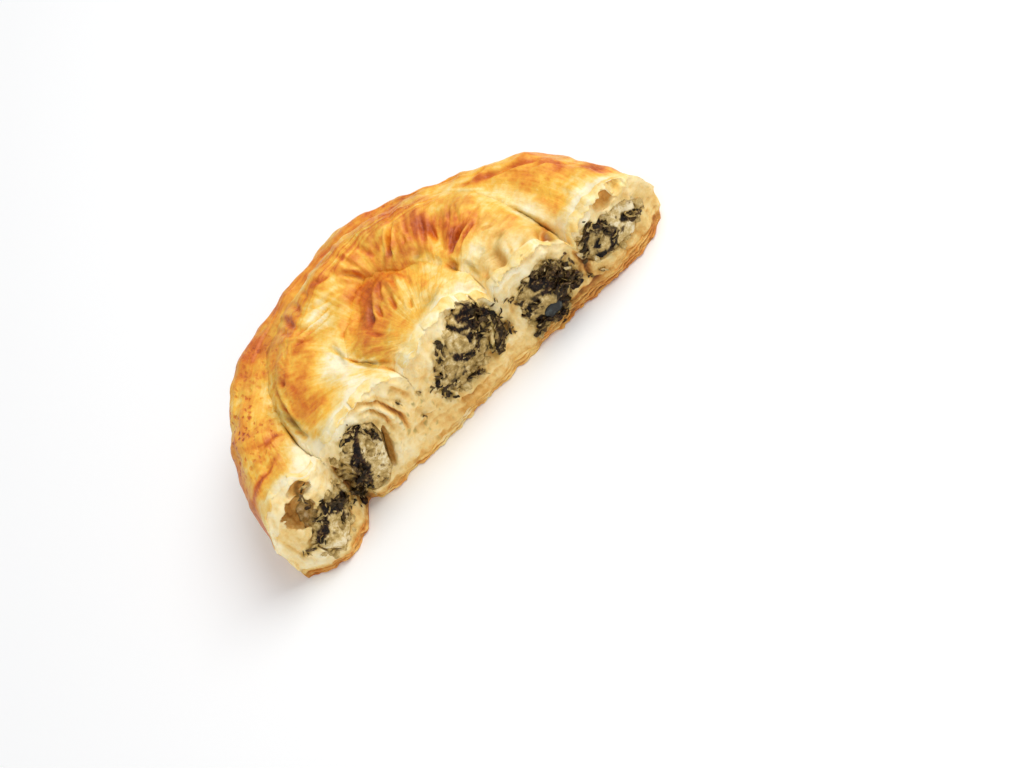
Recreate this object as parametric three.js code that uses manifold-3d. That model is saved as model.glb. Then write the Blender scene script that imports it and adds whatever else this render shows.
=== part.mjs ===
// Half of a coiled spinach and cheese filo pie (spanakopita), torn across its middle.
// A filled filo rope lies in a coil: an outer ring, a middle ring and a core that closes the centre.
// Each rope of filling runs through its ring and shows at both ends of it in the torn face.
// Units are millimetres, +Z up. While it is built, the torn face stands near y = 0 and the coil's
// centre is at x = 0; the finished pie is then moved over the middle of its footprint.

import * as THREE from "three";
import { ParametricGeometry } from "three/addons/geometries/ParametricGeometry.js";
import { ImprovedNoise } from "three/addons/math/ImprovedNoise.js";
import { mergeGeometries, mergeVertices } from "three/addons/utils/BufferGeometryUtils.js";
import Module from "manifold-3d";

const wasm = await Module();
wasm.setup();

// ---- Driving dimensions -------------------------------------------------------------------------
// Each list holds values at even steps from the right end of the torn face, round the back of the
// half coil, to its left end: radii from the coil's centre, and heights above the ground.
const coil = {
  rimRadius: [
    75.5, 72, 73, 72, 69.5, 69.5, 65.5, 69.5, 70.5, 76, 72, 72.5, 76, 76.5, 79, 76, 74.5, 74, 75.5,
  ],
  outerGrooveRadius: [47, 47.5, 54, 59, 60.5, 61.5, 60, 53, 47],
  innerGrooveRadius: [20, 22.5, 25.5, 31, 42, 36.5, 30, 16, 13],
  outerRingHeight: [27, 27.5, 28, 28, 28, 29, 30, 30.5, 29.5],
  middleRingHeight: [28.5, 30, 32.5, 34, 34.5, 34, 33, 32, 32],
  coreHeight: 33,
  outerGrooveDepth: [7, 7, 5.5, 4, 4, 5, 6, 7, 7],
  innerGrooveDepth: 6,
  footInset: [4, 5, 5, 5, 5, 5, 4, 2.5, 1], // how far the rope's underside turns in at the ground
  widestAt: 0.4, // share of the outer ring's height where the rim stands out furthest
};

const outerFilling = {
  radius: [58, 60, 59, 59.5, 64.5, 64.5, 66.5, 63, 56.5],
  middle: [14, 14, 13.5, 13, 13.5, 14, 14, 13, 11.5],
  halfWidth: [11, 7.5, 5, 4, 4.5, 4.5, 5.5, 7, 9.5],
  halfHeight: [6.5, 7.5, 8, 8, 8, 8, 8, 8, 6.5],
  lean: [-12, -4, 0, 0, 0, 0, 0, -15, -35], // degrees
};
const middleFilling = {
  radius: [32.5, 35, 40, 45, 51, 49, 44, 36, 37.5],
  middle: [12.5, 13.5, 15, 16, 16.5, 16.5, 16.5, 16.5, 16],
  halfWidth: [8.5, 8.5, 8, 6.5, 5, 6.5, 8, 8, 7.5],
  halfHeight: [10.5, 10, 10, 10.5, 10.5, 10.5, 10, 10, 11],
  lean: [-35, -20, 0, 0, 0, 0, 0, 15, 25],
};
const coreFilling = {
  atFace: { x: 5, z: 19, halfWidth: 13.5, halfHeight: 8, lean: 38 },
  atTip: { x: 1, z: 16, halfWidth: 7, halfHeight: 5, lean: 0 },
  reach: 33, // how far it runs back from the torn face
};
const fillingLumps = 0.2; // share of the filling's half width by which its lumps swell
const clearance = 0.35; // air between the filling and the pastry round it

// Hollows that the tear opened: centre, half sizes and lean in the torn face, in degrees.
const hollows = [
  { at: [-62, 0, 19.5], half: [5, 7.5, 7.5], lean: 35 }, // the empty space above the left filling
  { at: [-31.5, 0, 12], half: [1.1, 8, 8], lean: 21 }, // a slit between two layers of dough
  { at: [64, 0, 23.5], half: [5.5, 4.5, 1.8], lean: 5 }, // under the lifted crust at the right end
];
const tearReach = 11; // how far behind the torn face its bulges and notches fade out

// Mesh steps across the crust, from the ground to the coil's centre, round it, and up the tear.
const wallSteps = 9;
const slopeSteps = 5;
const middleRingSteps = 9;
const coreSteps = 8;
const acrossSteps = wallSteps + slopeSteps + middleRingSteps + coreSteps;
const roundSteps = 90;
const faceSteps = 8;

// ---- Small helpers ------------------------------------------------------------------------------
const { lerp, clamp, smoothstep, degToRad } = THREE.MathUtils;
const { noise } = new ImprovedNoise();

// A smooth reading of evenly spaced values, a share of the way from the first to the last.
function along(values, share) {
  const place = clamp(share, 0, 1) * (values.length - 1);
  const i = Math.min(Math.floor(place), values.length - 2);
  const f = place - i;
  const [a, b, c, d] = [i - 1, i, i + 1, i + 2].map((k) => values[clamp(k, 0, values.length - 1)]);
  return b + 0.5 * f * (c - a + f * (2 * a - 5 * b + 4 * c - d + f * (3 * (b - c) + d - a)));
}

// A bump of height 1 with a given reach, and a signed power that makes a curve fuller.
const bump = (distance, reach) => Math.exp(-((distance / reach) ** 2));
const signedPower = (x, power) => Math.sign(x) * Math.abs(x) ** power;

// A solid from surfaces that meet edge to edge.
function solidFrom(...surfaces) {
  const bare = surfaces.map((surface) => {
    const loose = surface.index ? surface.toNonIndexed() : surface;
    return new THREE.BufferGeometry().setAttribute("position", loose.getAttribute("position"));
  });
  const merged = mergeVertices(mergeGeometries(bare), 1e-3);
  const corners = [];
  for (let i = 0; i < merged.index.count; i += 3) {
    const [a, b, c] = merged.index.array.subarray(i, i + 3);
    if (a !== b && b !== c && c !== a) corners.push(a, b, c);
  }
  const vertProperties = merged.getAttribute("position").array;
  const triVerts = new Uint32Array(corners);
  return new wasm.Manifold(new wasm.Mesh({ numProp: 3, vertProperties, triVerts }));
}

function meshOf(name, solid, material) {
  const { vertProperties, triVerts } = solid.getMesh();
  const geometry = new THREE.BufferGeometry();
  geometry.setAttribute("position", new THREE.BufferAttribute(vertProperties, 3));
  geometry.setIndex(new THREE.BufferAttribute(triVerts, 1));
  geometry.computeVertexNormals();
  const mesh = new THREE.Mesh(geometry, material);
  mesh.name = name;
  return mesh;
}

// ---- The tear -----------------------------------------------------------------------------------
// How far the torn face stands behind y = 0 at a place on it. The outer ring's left end sticks out
// low down, a notch parts it from the middle ring, and the crust over the core is torn back.
function tearDepth(x, z) {
  const high = smoothstep(z, 0, coil.coreHeight);
  const low = 1 - high;
  const leftEnd = -7.2 * low * bump(x + 61, 9.5);
  const notch = 5 * bump(x + 46, 3.2);
  const tornCore = 6 * high * bump(x - 16, 11);
  const tornMiddle = 1.6 * high * bump(x + 23, 10);
  const rightEnd = low * (5 * bump(x - 76, 7) - 2.4 * bump(x - 54, 12));
  const crags = 1.3 * noise(x / 7, 3.3, z / 6) + 0.8 * noise(x / 2.9, 8.1, z / 3.1);
  return leftEnd + notch + tornCore + tornMiddle + rightEnd + crags;
}

// Carries a point of the evenly cut half coil to its place in the torn one.
function torn(target, x, y, z) {
  return target.set(x, y + tearDepth(x, z) * bump(y, tearReach), z);
}

// ---- The pastry ---------------------------------------------------------------------------------
// Uneven dough: swells and dents, with pleats across the rope where it was bent into the coil.
function relief(angle, radius, z) {
  const [x, y] = [radius * Math.cos(angle), radius * Math.sin(angle)];
  const pleatPlace = angle * 21 + 2.2 * noise(x / 16, y / 16, 1.7);
  const pleated = smoothstep(noise(x / 19, y / 19, 6.2), -0.15, 0.4);
  const pleats = -0.9 * pleated * Math.abs(Math.sin(pleatPlace)) ** 0.6;
  const swells = 2 * noise(x / 17, y / 17, z / 17 + 4.5);
  const dents = 0.8 * noise(x / 6, y / 6, z / 6 + 9.5);
  return pleats + swells + dents;
}

// The outer ring's wall: from the ground (share 0) out to the rim and up to the top of the ring.
function wall(rim, inset, halfWidth, height, share) {
  const widest = coil.widestAt * height;
  const underside = 0.36; // share of the steps below the widest line
  if (share < underside) {
    const down = 1 - share / underside;
    return { radius: rim - inset * down ** 2, z: widest * (1 - down), outward: 1, upward: 0 };
  }
  const turn = (0.5 * Math.PI * (share - underside)) / (1 - underside);
  const [outward, upward] = [Math.cos(turn), Math.sin(turn)];
  const radius = rim - halfWidth + halfWidth * outward ** 0.85;
  return { radius, z: lerp(widest, height, upward), outward, upward };
}

// Height of a rounded back between two feet: place runs from -1 to 1 across it.
const arched = (foot, top, place) => foot + (top - foot) * Math.sqrt(1 - Math.abs(place) ** 2.4);

// The crust's cross-section at an angle round the coil, for a step counted from the ground.
function section(angle, step) {
  const share = angle / Math.PI;
  const rim = along(coil.rimRadius, share);
  const outerGroove = along(coil.outerGrooveRadius, share);
  const innerGroove = along(coil.innerGrooveRadius, share);
  const outerHeight = along(coil.outerRingHeight, share);
  const middleHeight = along(coil.middleRingHeight, share);
  const outerGrooveZ = Math.min(outerHeight, middleHeight) - along(coil.outerGrooveDepth, share);
  const innerGrooveZ = Math.min(middleHeight, coil.coreHeight) - coil.innerGrooveDepth;
  const halfWidth = (rim - outerGroove) / 2;
  let place = { outward: 0, upward: 1 };
  if (step <= wallSteps) {
    place = wall(rim, along(coil.footInset, share), halfWidth, outerHeight, step / wallSteps);
  } else if (step <= wallSteps + slopeSteps) {
    const s = (step - wallSteps) / slopeSteps;
    place.radius = lerp(rim - halfWidth, outerGroove, s);
    place.z = arched(outerGrooveZ, outerHeight, s);
  } else if (step <= acrossSteps - coreSteps) {
    const s = (step - wallSteps - slopeSteps) / middleRingSteps;
    place.radius = lerp(outerGroove, innerGroove, s);
    place.z = arched(lerp(outerGrooveZ, innerGrooveZ, s), middleHeight, 2 * s - 1);
  } else {
    const s = (acrossSteps - step) / coreSteps;
    place.radius = innerGroove * s;
    place.z = arched(innerGrooveZ, coil.coreHeight, s);
  }
  const calm = smoothstep(place.z, 0, 8) * smoothstep(place.radius, 2, 16);
  const lift = calm * relief(angle, place.radius, place.z);
  return { radius: place.radius + place.outward * lift, z: place.z + place.upward * lift };
}

// The crust, round the coil (u) and from the ground to the coil's centre (v).
function crustPoint(u, v, target) {
  const angle = u * Math.PI;
  const { radius, z } = section(angle, Math.round(v * acrossSteps));
  return torn(target, radius * Math.cos(angle), radius * Math.sin(angle), z);
}

// The torn face, from its left end to its right one (u) and from the ground to the crust (v).
function facePoint(u, v, target) {
  const side = u < 0.5 ? Math.PI : 0;
  const step = Math.round(acrossSteps * (1 - Math.abs(2 * u - 1)));
  const top = section(side, step);
  const foot = section(side, 0).radius;
  const crest = section(side, wallSteps).radius;
  const bottom = step < wallSteps ? lerp(foot, crest, step / wallSteps) : top.radius;
  return torn(target, Math.cos(side) * lerp(bottom, top.radius, v), 0, top.z * v);
}

// The flat underside, within the crust's foot and the torn face's lower edge.
function underside() {
  const point = new THREE.Vector3();
  const outline = [];
  for (let i = 0; i < roundSteps; i++) {
    crustPoint(i / roundSteps, 0, point);
    outline.push(new THREE.Vector2(point.x, point.y));
  }
  for (let i = 0; i < 2 * acrossSteps; i++) {
    facePoint(i / (2 * acrossSteps), 0, point);
    outline.push(new THREE.Vector2(point.x, point.y));
  }
  const corners = THREE.ShapeUtils.triangulateShape(outline, []).flatMap(([a, b, c]) => [a, c, b]);
  const positions = corners.flatMap((k) => [outline[k].x, outline[k].y, 0]);
  const surface = new THREE.BufferGeometry();
  return surface.setAttribute("position", new THREE.Float32BufferAttribute(positions, 3));
}

function pastrySolid() {
  const crust = new ParametricGeometry(crustPoint, roundSteps, acrossSteps);
  const face = new ParametricGeometry(facePoint, 2 * acrossSteps, faceSteps);
  return solidFrom(crust, face, underside());
}

// A ragged hollow in the torn face.
function hollowSolid({ at, half, lean }) {
  const shape = new THREE.SphereGeometry(1, 14, 9);
  shape.scale(...half).rotateY(degToRad(lean)).translate(...at);
  const points = shape.getAttribute("position");
  for (let i = 0; i < points.count; i++) {
    const [x, y, z] = [points.getX(i), points.getY(i), points.getZ(i)];
    const ragged = 0.25 * Math.min(...half);
    points.setX(i, x + ragged * noise(x / 2.5, y / 2.5, z / 2.5));
    points.setZ(i, z + ragged * noise(z / 2.5, x / 2.5, y / 2.5));
  }
  return solidFrom(shape);
}

// ---- The filling --------------------------------------------------------------------------------
// A rope of filling along stations, each with its centre, its two half sizes with the directions
// they point in, and how full it is there (0 at a closed end). grow fattens it all round.
function rope(stations, grow) {
  const sides = 12;
  const last = stations.length - 1;
  const surface = new ParametricGeometry(
    (u, v, target) => {
      const { centre, across, up, halfWidth, halfHeight, full } = stations[Math.round(v * last)];
      const turn = u * 2 * Math.PI;
      const [c, s] = [signedPower(Math.cos(turn), 0.85), signedPower(Math.sin(turn), 0.85)];
      const [x, y] = [centre.x / 6, Math.max(centre.y, 0) / 6];
      const lumps = 1 + fillingLumps * noise(x + c, y + 2.2, s + 0.4);
      target.copy(centre);
      target.addScaledVector(across, full * c * (halfWidth * lumps + grow));
      target.addScaledVector(up, full * s * (halfHeight * lumps + grow));
      return torn(target, target.x, target.y, target.z);
    },
    sides,
    last,
  );
  return solidFrom(surface);
}

// How a rope ends in the torn face: as rounded filling, or straight on to cut its channel free.
const roundedEnd = [
  { y: 1.2, full: 1 },
  { y: -0.1, full: 0.88 },
  { y: -0.8, full: 0.55 },
  { y: -1, full: 0 },
];
const openEnd = [
  { y: 1.2, full: 1 },
  { y: -12, full: 1 },
  { y: -12.1, full: 0 },
];

// The directions across and up a rope that leans in the plane of outward and the upright.
function leaning(outward, degrees) {
  const [c, s] = [Math.cos(degToRad(degrees)), Math.sin(degToRad(degrees))];
  const upright = new THREE.Vector3(0, 0, 1);
  return {
    across: outward.clone().multiplyScalar(c).addScaledVector(upright, s),
    up: upright.clone().multiplyScalar(c).addScaledVector(outward, -s),
  };
}

// The stations of a rope that follows its ring from the torn face's left side to its right side.
function ringStations({ radius, middle, halfWidth, halfHeight, lean }, end) {
  const steps = 34;
  const station = (share, y, full) => {
    const angle = Math.PI * share;
    const outward = new THREE.Vector3(Math.cos(angle), Math.sin(angle), 0);
    const r = along(radius, share);
    return {
      centre: new THREE.Vector3(r * outward.x, y ?? r * outward.y, along(middle, share)),
      ...leaning(outward, along(lean, share)),
      halfWidth: along(halfWidth, share),
      halfHeight: along(halfHeight, share),
      full,
    };
  };
  const left = end.toReversed().map(({ y, full }) => station(1, y, full));
  const right = end.map(({ y, full }) => station(0, y, full));
  const round = [];
  for (let i = steps - 1; i > 0; i--) round.push(station(i / steps, undefined, 1));
  return [...left, ...round, ...right];
}

// The stations of the core's rope, from its tip inside the pie straight out to the torn face.
function coreStations({ atFace, atTip, reach }, end) {
  const steps = 7;
  const station = (y, full) => {
    const s = clamp(y / reach, 0, 1);
    return {
      centre: new THREE.Vector3(lerp(atFace.x, atTip.x, s), y, lerp(atFace.z, atTip.z, s)),
      ...leaning(new THREE.Vector3(1, 0, 0), lerp(atFace.lean, atTip.lean, s)),
      halfWidth: lerp(atFace.halfWidth, atTip.halfWidth, s),
      halfHeight: lerp(atFace.halfHeight, atTip.halfHeight, s),
      full,
    };
  };
  const stations = [station(reach + 0.6, 0), station(reach, 0.6)];
  for (let i = steps - 1; i > 0; i--) stations.push(station((reach * i) / steps, 1));
  return [...stations, ...end.map(({ y, full }) => station(y, full))];
}

// ---- The pie ------------------------------------------------------------------------------------
const ropes = [
  { name: "filling_outer", stations: (end) => ringStations(outerFilling, end) },
  { name: "filling_middle", stations: (end) => ringStations(middleFilling, end) },
  { name: "filling_core", stations: (end) => coreStations(coreFilling, end) },
];

let pastry = pastrySolid();
for (const { stations } of ropes) pastry = pastry.subtract(rope(stations(openEnd), clearance));
for (const hollow of hollows) pastry = pastry.subtract(hollowSolid(hollow));

const bakedDough = new THREE.MeshStandardMaterial({ color: "#d9a04e", roughness: 0.55, metalness: 0 });
const spinachAndCheese = new THREE.MeshStandardMaterial({ color: "#4d5a33", roughness: 0.6, metalness: 0 });

const half = new THREE.Group();
half.add(meshOf("pastry", pastry, bakedDough));
for (const { name, stations } of ropes) {
  half.add(meshOf(name, rope(stations(roundedEnd), 0), spinachAndCheese));
}

const box = new THREE.Box3().setFromObject(half);
const middle = box.getCenter(new THREE.Vector3());
half.position.set(-middle.x, -middle.y, 0);

const pie = new THREE.Group();
pie.add(half);
export default pie;
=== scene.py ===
import math

import bmesh
import bpy
import numpy as np
from mathutils import Matrix, Vector
from mathutils.bvhtree import BVHTree


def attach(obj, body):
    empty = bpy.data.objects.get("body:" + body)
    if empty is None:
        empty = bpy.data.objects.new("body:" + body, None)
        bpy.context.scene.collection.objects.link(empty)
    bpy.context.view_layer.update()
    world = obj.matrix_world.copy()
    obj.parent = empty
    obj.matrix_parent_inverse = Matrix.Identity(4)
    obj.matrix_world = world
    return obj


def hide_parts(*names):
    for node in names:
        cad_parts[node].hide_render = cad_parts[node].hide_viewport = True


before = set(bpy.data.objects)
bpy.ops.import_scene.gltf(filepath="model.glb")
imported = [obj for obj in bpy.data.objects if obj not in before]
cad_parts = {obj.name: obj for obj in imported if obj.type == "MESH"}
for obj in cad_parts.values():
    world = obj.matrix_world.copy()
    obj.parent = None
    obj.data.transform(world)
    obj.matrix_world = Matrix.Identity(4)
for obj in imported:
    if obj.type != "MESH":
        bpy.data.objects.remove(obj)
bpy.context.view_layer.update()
mm = 0.001
coilCentre = np.array((0.16, -34.31, 0))  # the coil's centre in the part's frame, mm


def along(values, share):  # smooth reading of evenly spaced values
    values = np.asarray(values, float)
    last = len(values) - 1
    place = np.clip(share, 0, 1) * last
    i = np.minimum(np.floor(place).astype(int), last - 1)
    f = place - i
    a, b, c, d = (values[np.clip(i + k, 0, last)] for k in (-1, 0, 1, 2))
    return b + 0.5 * f * (c - a + f * (2 * a - 5 * b + 4 * c - d + f * (3 * (b - c) + d - a)))


def bump(distance, reach):
    return np.exp(-((distance / reach) ** 2))


def smooth(x, low, high):
    s = np.clip((x - low) / (high - low), 0, 1)
    return s * s * (3 - 2 * s)


noiseDraw = np.random.default_rng(7)
shuffled = noiseDraw.permutation(256)
slopes = noiseDraw.normal(size=(256, 3))
slopes /= np.linalg.norm(slopes, axis=1)[:, None]


def lumps(x, y, z, size, seed=0):  # smooth noise, about -1 to 1, with lumps of that size
    p = np.stack(np.broadcast_arrays(x, y, z), -1) / size + 31.7 * seed
    cell = np.floor(p).astype(int)
    f = p - cell
    w = f * f * f * (f * (f * 6 - 15) + 10)
    total = np.zeros(p.shape[:-1])
    for corner in np.ndindex(2, 2, 2):
        at = cell + corner
        h = shuffled[at[..., 0] & 255]
        h = shuffled[(h + at[..., 1]) & 255]
        h = shuffled[(h + at[..., 2]) & 255]
        share = np.prod(np.where(corner, w, 1 - w), -1)
        total += share * (slopes[h] * (f - corner)).sum(-1)
    return 1.6 * total


def ridges(x, y, z, size, seed=0):  # sharp crests with round valleys, 0 to 1
    return 1 - np.abs(np.clip(1.4 * lumps(x, y, z, size, seed), -1, 1))


def nearLine(x, y, line):  # distance to a line, which side of it (left +) and share along it
    points = np.asarray(line, float)
    steps = np.linalg.norm(np.diff(points, axis=0), axis=1)
    run = np.concatenate([[0], np.cumsum(steps)])
    best = np.full(x.shape, 1e9)
    side = np.ones(x.shape)
    share = np.zeros(x.shape)
    for i, step in enumerate(steps):
        dx, dy = (points[i + 1] - points[i]) / step
        ax, ay = x - points[i][0], y - points[i][1]
        reach = np.clip(ax * dx + ay * dy, 0, step)
        gap = np.hypot(ax - reach * dx, ay - reach * dy)
        closer = gap < best
        best = np.where(closer, gap, best)
        side = np.where(closer, np.sign(dx * ay - dy * ax), side)
        share = np.where(closer, (run[i] + reach) / run[-1], share)
    return best, side, share


def fadeOut(share, least, power):  # fades what a line does towards its two ends
    return np.sin(math.pi * np.clip(share, least, 1 - least)) ** power


def turned(x, y, degrees):
    turn = math.radians(degrees)
    return x * math.cos(turn) + y * math.sin(turn), y * math.cos(turn) - x * math.sin(turn)


def inPatch(x, y, px, py, a, b, turn=0):  # 1 in an oval patch's middle, fading out over its reach
    u, v = turned(x - px, y - py, turn)
    return np.exp(-((u / a) ** 2) - (v / b) ** 2)


def patched(x, y, rows):  # adds up rows of place, reach along and across, amount and turn
    total = np.zeros(x.shape)
    for px, py, a, b, amount, *turn in rows:
        total += amount * inPatch(x, y, px, py, a, b, *turn)
    return total


def ovalGap(x, z, px, pz, a, b, lean):  # distance outside a leaning oval, about
    u, v = turned(x - px, z - pz, lean)
    return (np.hypot(u / a, v / b) - 1) * min(a, b)


def meshFrom(bm, name):
    mesh = bpy.data.meshes.new(name)
    bm.to_mesh(mesh)
    bm.free()
    return mesh


def mergedCopy(*meshes):  # the meshes in one bmesh, with their doubles merged
    bm = bmesh.new()
    for mesh in meshes:
        bm.from_mesh(mesh)
    bmesh.ops.remove_doubles(bm, verts=bm.verts, dist=1e-6)
    return bm


def pointsOf(mesh):
    flat = np.zeros(len(mesh.vertices) * 3)
    mesh.vertices.foreach_get("co", flat)
    return flat.reshape(-1, 3)


def setPoints(mesh, points):
    mesh.vertices.foreach_set("co", np.ascontiguousarray(points, np.float32).ravel())
    mesh.update()


def normalsOf(mesh):
    flat = np.zeros(len(mesh.vertices) * 3, np.float32)
    mesh.vertices.foreach_get("normal", flat)
    return flat.reshape(-1, 3).astype(float)


def placed(points):  # from the coil's frame in mm to the part's frame in metres
    return (points + coilCentre) * mm


def unplaced(points):
    return points / mm - coilCentre


def paint(mesh, **fields):  # keeps a value or a vector for each point, for the materials
    for name, values in fields.items():
        kind, key = ("FLOAT_VECTOR", "vector") if np.ndim(values) > 1 else ("FLOAT", "value")
        attribute = mesh.attributes.new(name, kind, "POINT")
        values = np.broadcast_to(values, (len(mesh.vertices), *np.shape(values)[1:]))
        attribute.data.foreach_set(key, np.ascontiguousarray(values, np.float32).ravel())


def painted(mesh, name):
    values = np.zeros(len(mesh.vertices), np.float32)
    mesh.attributes[name].data.foreach_get("value", values)
    return values


def objectFrom(data, name):
    piece = bpy.data.objects.new(name, data)
    bpy.context.scene.collection.objects.link(piece)
    return piece


def settled(piece):  # applies the piece's modifiers
    graph = bpy.context.evaluated_depsgraph_get()
    mesh = bpy.data.meshes.new_from_object(piece.evaluated_get(graph), depsgraph=graph)
    piece.modifiers.clear()
    piece.data = mesh
    return piece


def finished(piece, slot, material, *nodes):
    piece.data.materials.clear()
    piece.data.materials.append(material)
    piece.data.shade_smooth()
    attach(piece, "root")
    if nodes:
        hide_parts(*nodes)
    return piece


def treeOf(mesh):
    mesh.calc_loop_triangles()
    corners = [tuple(t.vertices) for t in mesh.loop_triangles]
    return BVHTree.FromPolygons([v.co for v in mesh.vertices], corners)


def linear(code):  # sRGB hex to linear
    parts = [int(code[i : i + 2], 16) / 255 for i in (1, 3, 5)]
    return [*(c / 12.92 if c <= 0.04045 else ((c + 0.055) / 1.055) ** 2.4 for c in parts), 1]


def perMetre(size):  # a noise scale that gives lumps of a size in mm
    return 1 / (size * mm)


def plug(tree, node, inputs):
    for key, value in inputs.items():
        if isinstance(value, bpy.types.NodeSocket):
            tree.links.new(value, node.inputs[key])
        else:
            node.inputs[key].default_value = value


def addNode(tree, kind, *values, out=0, stops=(), inputs=(), **settings):  # gives one of its outputs
    node = tree.nodes.new("ShaderNode" + kind)
    for key, value in settings.items():
        setattr(node, key, value)
    for i, (place, code) in enumerate(stops):
        element = node.color_ramp.elements[i] if i < 2 else node.color_ramp.elements.new(place)
        element.position = place
        element.color = linear(code)
    plug(tree, node, {**dict(enumerate(values)), **dict(inputs)})
    return node.outputs[out]


def newMaterial(name):
    material = bpy.data.materials.new(name)
    material.use_nodes = True
    tree = material.node_tree
    return material, tree, tree.nodes["Principled BSDF"]


filoLook = {
    "bakedStops": [
        (0.0, "#FDF0CA"),
        (0.18, "#FBDB88"),
        (0.34, "#F6BD42"),
        (0.50, "#EA9728"),
        (0.66, "#D46C14"),
        (0.83, "#B04A0E"),
        (1.0, "#742E0C"),
    ],
    "crumbStops": [
        (0.0, "#FFF2CC"),
        (0.2, "#FEE6AC"),
        (0.4, "#F7D386"),
        (0.6, "#E4AC55"),
        (0.8, "#BE7A34"),
        (1.0, "#6E3C1A"),
    ],
    "olive": "#8A7C34",
    "mottle": 2.6,
    "blister": 0.9,
    "bubble": 1.5,  # distance between small burst bubbles
    "streak": (12.0, 0.9),  # length and width of the fine lines that run with the layers
}


# Filo pastry: thin buttered sheets baked in a coil; satin, golden on top, pale where it tore.
def bakedFilo():
    material, tree, shader = newMaterial("bakedFilo")
    look = filoLook
    place = addNode(tree, "TexCoord", out="Object")
    browned, crumb, olive, bubbled = (
        addNode(tree, "Attribute", out="Fac", attribute_name=name)
        for name in ("browned", "crumb", "olive", "bubbled")
    )
    strand = addNode(tree, "Attribute", out="Vector", attribute_name="strand")
    length, width = look["streak"]
    lengthwise = {"Vector": strand, "Scale": (1 / length, 1 / width, 1)}
    stretched = addNode(tree, "Mapping", inputs=lengthwise)
    mottled = {"Vector": place, "Scale": perMetre(look["mottle"]), "Detail": 5, "Roughness": 0.6}
    mottle = addNode(tree, "TexNoise", inputs=mottled)
    streaked = {"Vector": stretched, "Scale": 1, "Detail": 4, "Roughness": 0.62}
    streak = addNode(tree, "TexNoise", inputs=streaked)
    blistered = {"Vector": place, "Scale": perMetre(look["blister"]), "Detail": 3, "Roughness": 0.65}
    grain = addNode(tree, "TexNoise", inputs=blistered)
    wavy = {"Vector": place, "Scale": perMetre(look["bubble"]), "Detail": 2}
    bent = addNode(tree, "TexNoise", out="Color", inputs=wavy)
    shift = [1.2 * look["bubble"] * mm] * 3
    bent = addNode(tree, "VectorMath", bent, shift, place, operation="MULTIPLY_ADD")
    longer = addNode(tree, "Mapping", inputs={"Vector": bent, "Scale": (1, 0.6, 1)})
    apart = {"Vector": longer, "Scale": perMetre(look["bubble"])}
    bubble = addNode(tree, "TexVoronoi", out="Distance", inputs=apart)
    which = bubble.node.outputs["Color"]
    near = addNode(tree, "MapRange", inputs={"Value": bubble, "From Min": 0.44, "From Max": 0.2})
    burst = addNode(tree, "Math", which, 0.3, operation="GREATER_THAN")
    pit = addNode(tree, "Math", near, burst, operation="MULTIPLY")
    pit = addNode(tree, "Math", pit, bubbled, operation="MULTIPLY")
    uneven = addNode(tree, "Math", mottle, 0.5, -0.25, operation="MULTIPLY_ADD")
    lined = addNode(tree, "Math", streak, 0.34, -0.17, operation="MULTIPLY_ADD")
    both = addNode(tree, "Math", uneven, lined, operation="ADD")
    pitted = addNode(tree, "Math", pit, 0.34, both, operation="MULTIPLY_ADD")
    # the browning level also carries painted shade: creases, two pits and the torn face's deeper places
    level = addNode(tree, "Math", browned, pitted, operation="ADD")
    baked = addNode(tree, "ValToRGB", level, stops=look["bakedStops"])
    grainy = addNode(tree, "Math", grain, 0.3, -0.15, operation="MULTIPLY_ADD")
    rough = addNode(tree, "Math", grainy, uneven, operation="ADD")
    # the torn dough's colour comes from the same level, its painted shade included
    crumbToastAndShade = addNode(tree, "Math", browned, rough, operation="ADD")
    torn = addNode(tree, "ValToRGB", crumbToastAndShade, stops=look["crumbStops"])
    skin = addNode(tree, "Mix", out=2, inputs={0: crumb, 6: baked, 7: torn}, data_type="RGBA")
    # olive from the filling, and olive painted shade in grooves, creases and dents
    stain = {0: olive, 6: skin, 7: linear(look["olive"])}
    oliveStainAndShade = addNode(tree, "Mix", out=2, inputs=stain, data_type="RGBA")
    relief = addNode(tree, "Math", streak, 0.6, grain, operation="MULTIPLY_ADD")
    relief = addNode(tree, "Math", pit, -1.0, relief, operation="MULTIPLY_ADD")
    raised = {"Strength": 0.5, "Distance": 0.0006, "Height": relief}
    gloss = {"Value": crumb, "To Min": 0.42, "To Max": 0.72}  # satin crust, duller crumb
    surface = {
        "Base Color": oliveStainAndShade,
        "Normal": addNode(tree, "Bump", inputs=raised),
        "Roughness": addNode(tree, "MapRange", inputs=gloss),
        "IOR": 1.45,
        "Subsurface Weight": 0.12,
        "Subsurface Radius": (1.0, 0.55, 0.25),
        "Subsurface Scale": 0.0012,
    }
    plug(tree, shader, surface)
    return material


fillingLook = {
    # near black to pale olive: the paler stops are painted highlights and sheen on the wet leaves, along
    # with paler bits of leaf
    "leafStops": [
        (0.38, "#080302"),
        (0.50, "#1C0D05"),
        (0.57, "#3A200E"),
        (0.64, "#684C28"),
        (0.76, "#AE9656"),
    ],
    "custardStops": [
        (0.3, "#80642E"),
        (0.42, "#A28444"),
        (0.52, "#BE9E5A"),
        (0.64, "#DCC080"),
        (0.8, "#F8E8C0"),
    ],
    # the palest stop is partly a painted highlight on the leaf's wet back
    "smoothStops": [(0.38, "#0A0C0A"), (0.5, "#181C1A"), (0.64, "#3E4744")],
    "vein": 1.5,
    "smoothVein": 1.8,
}


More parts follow.
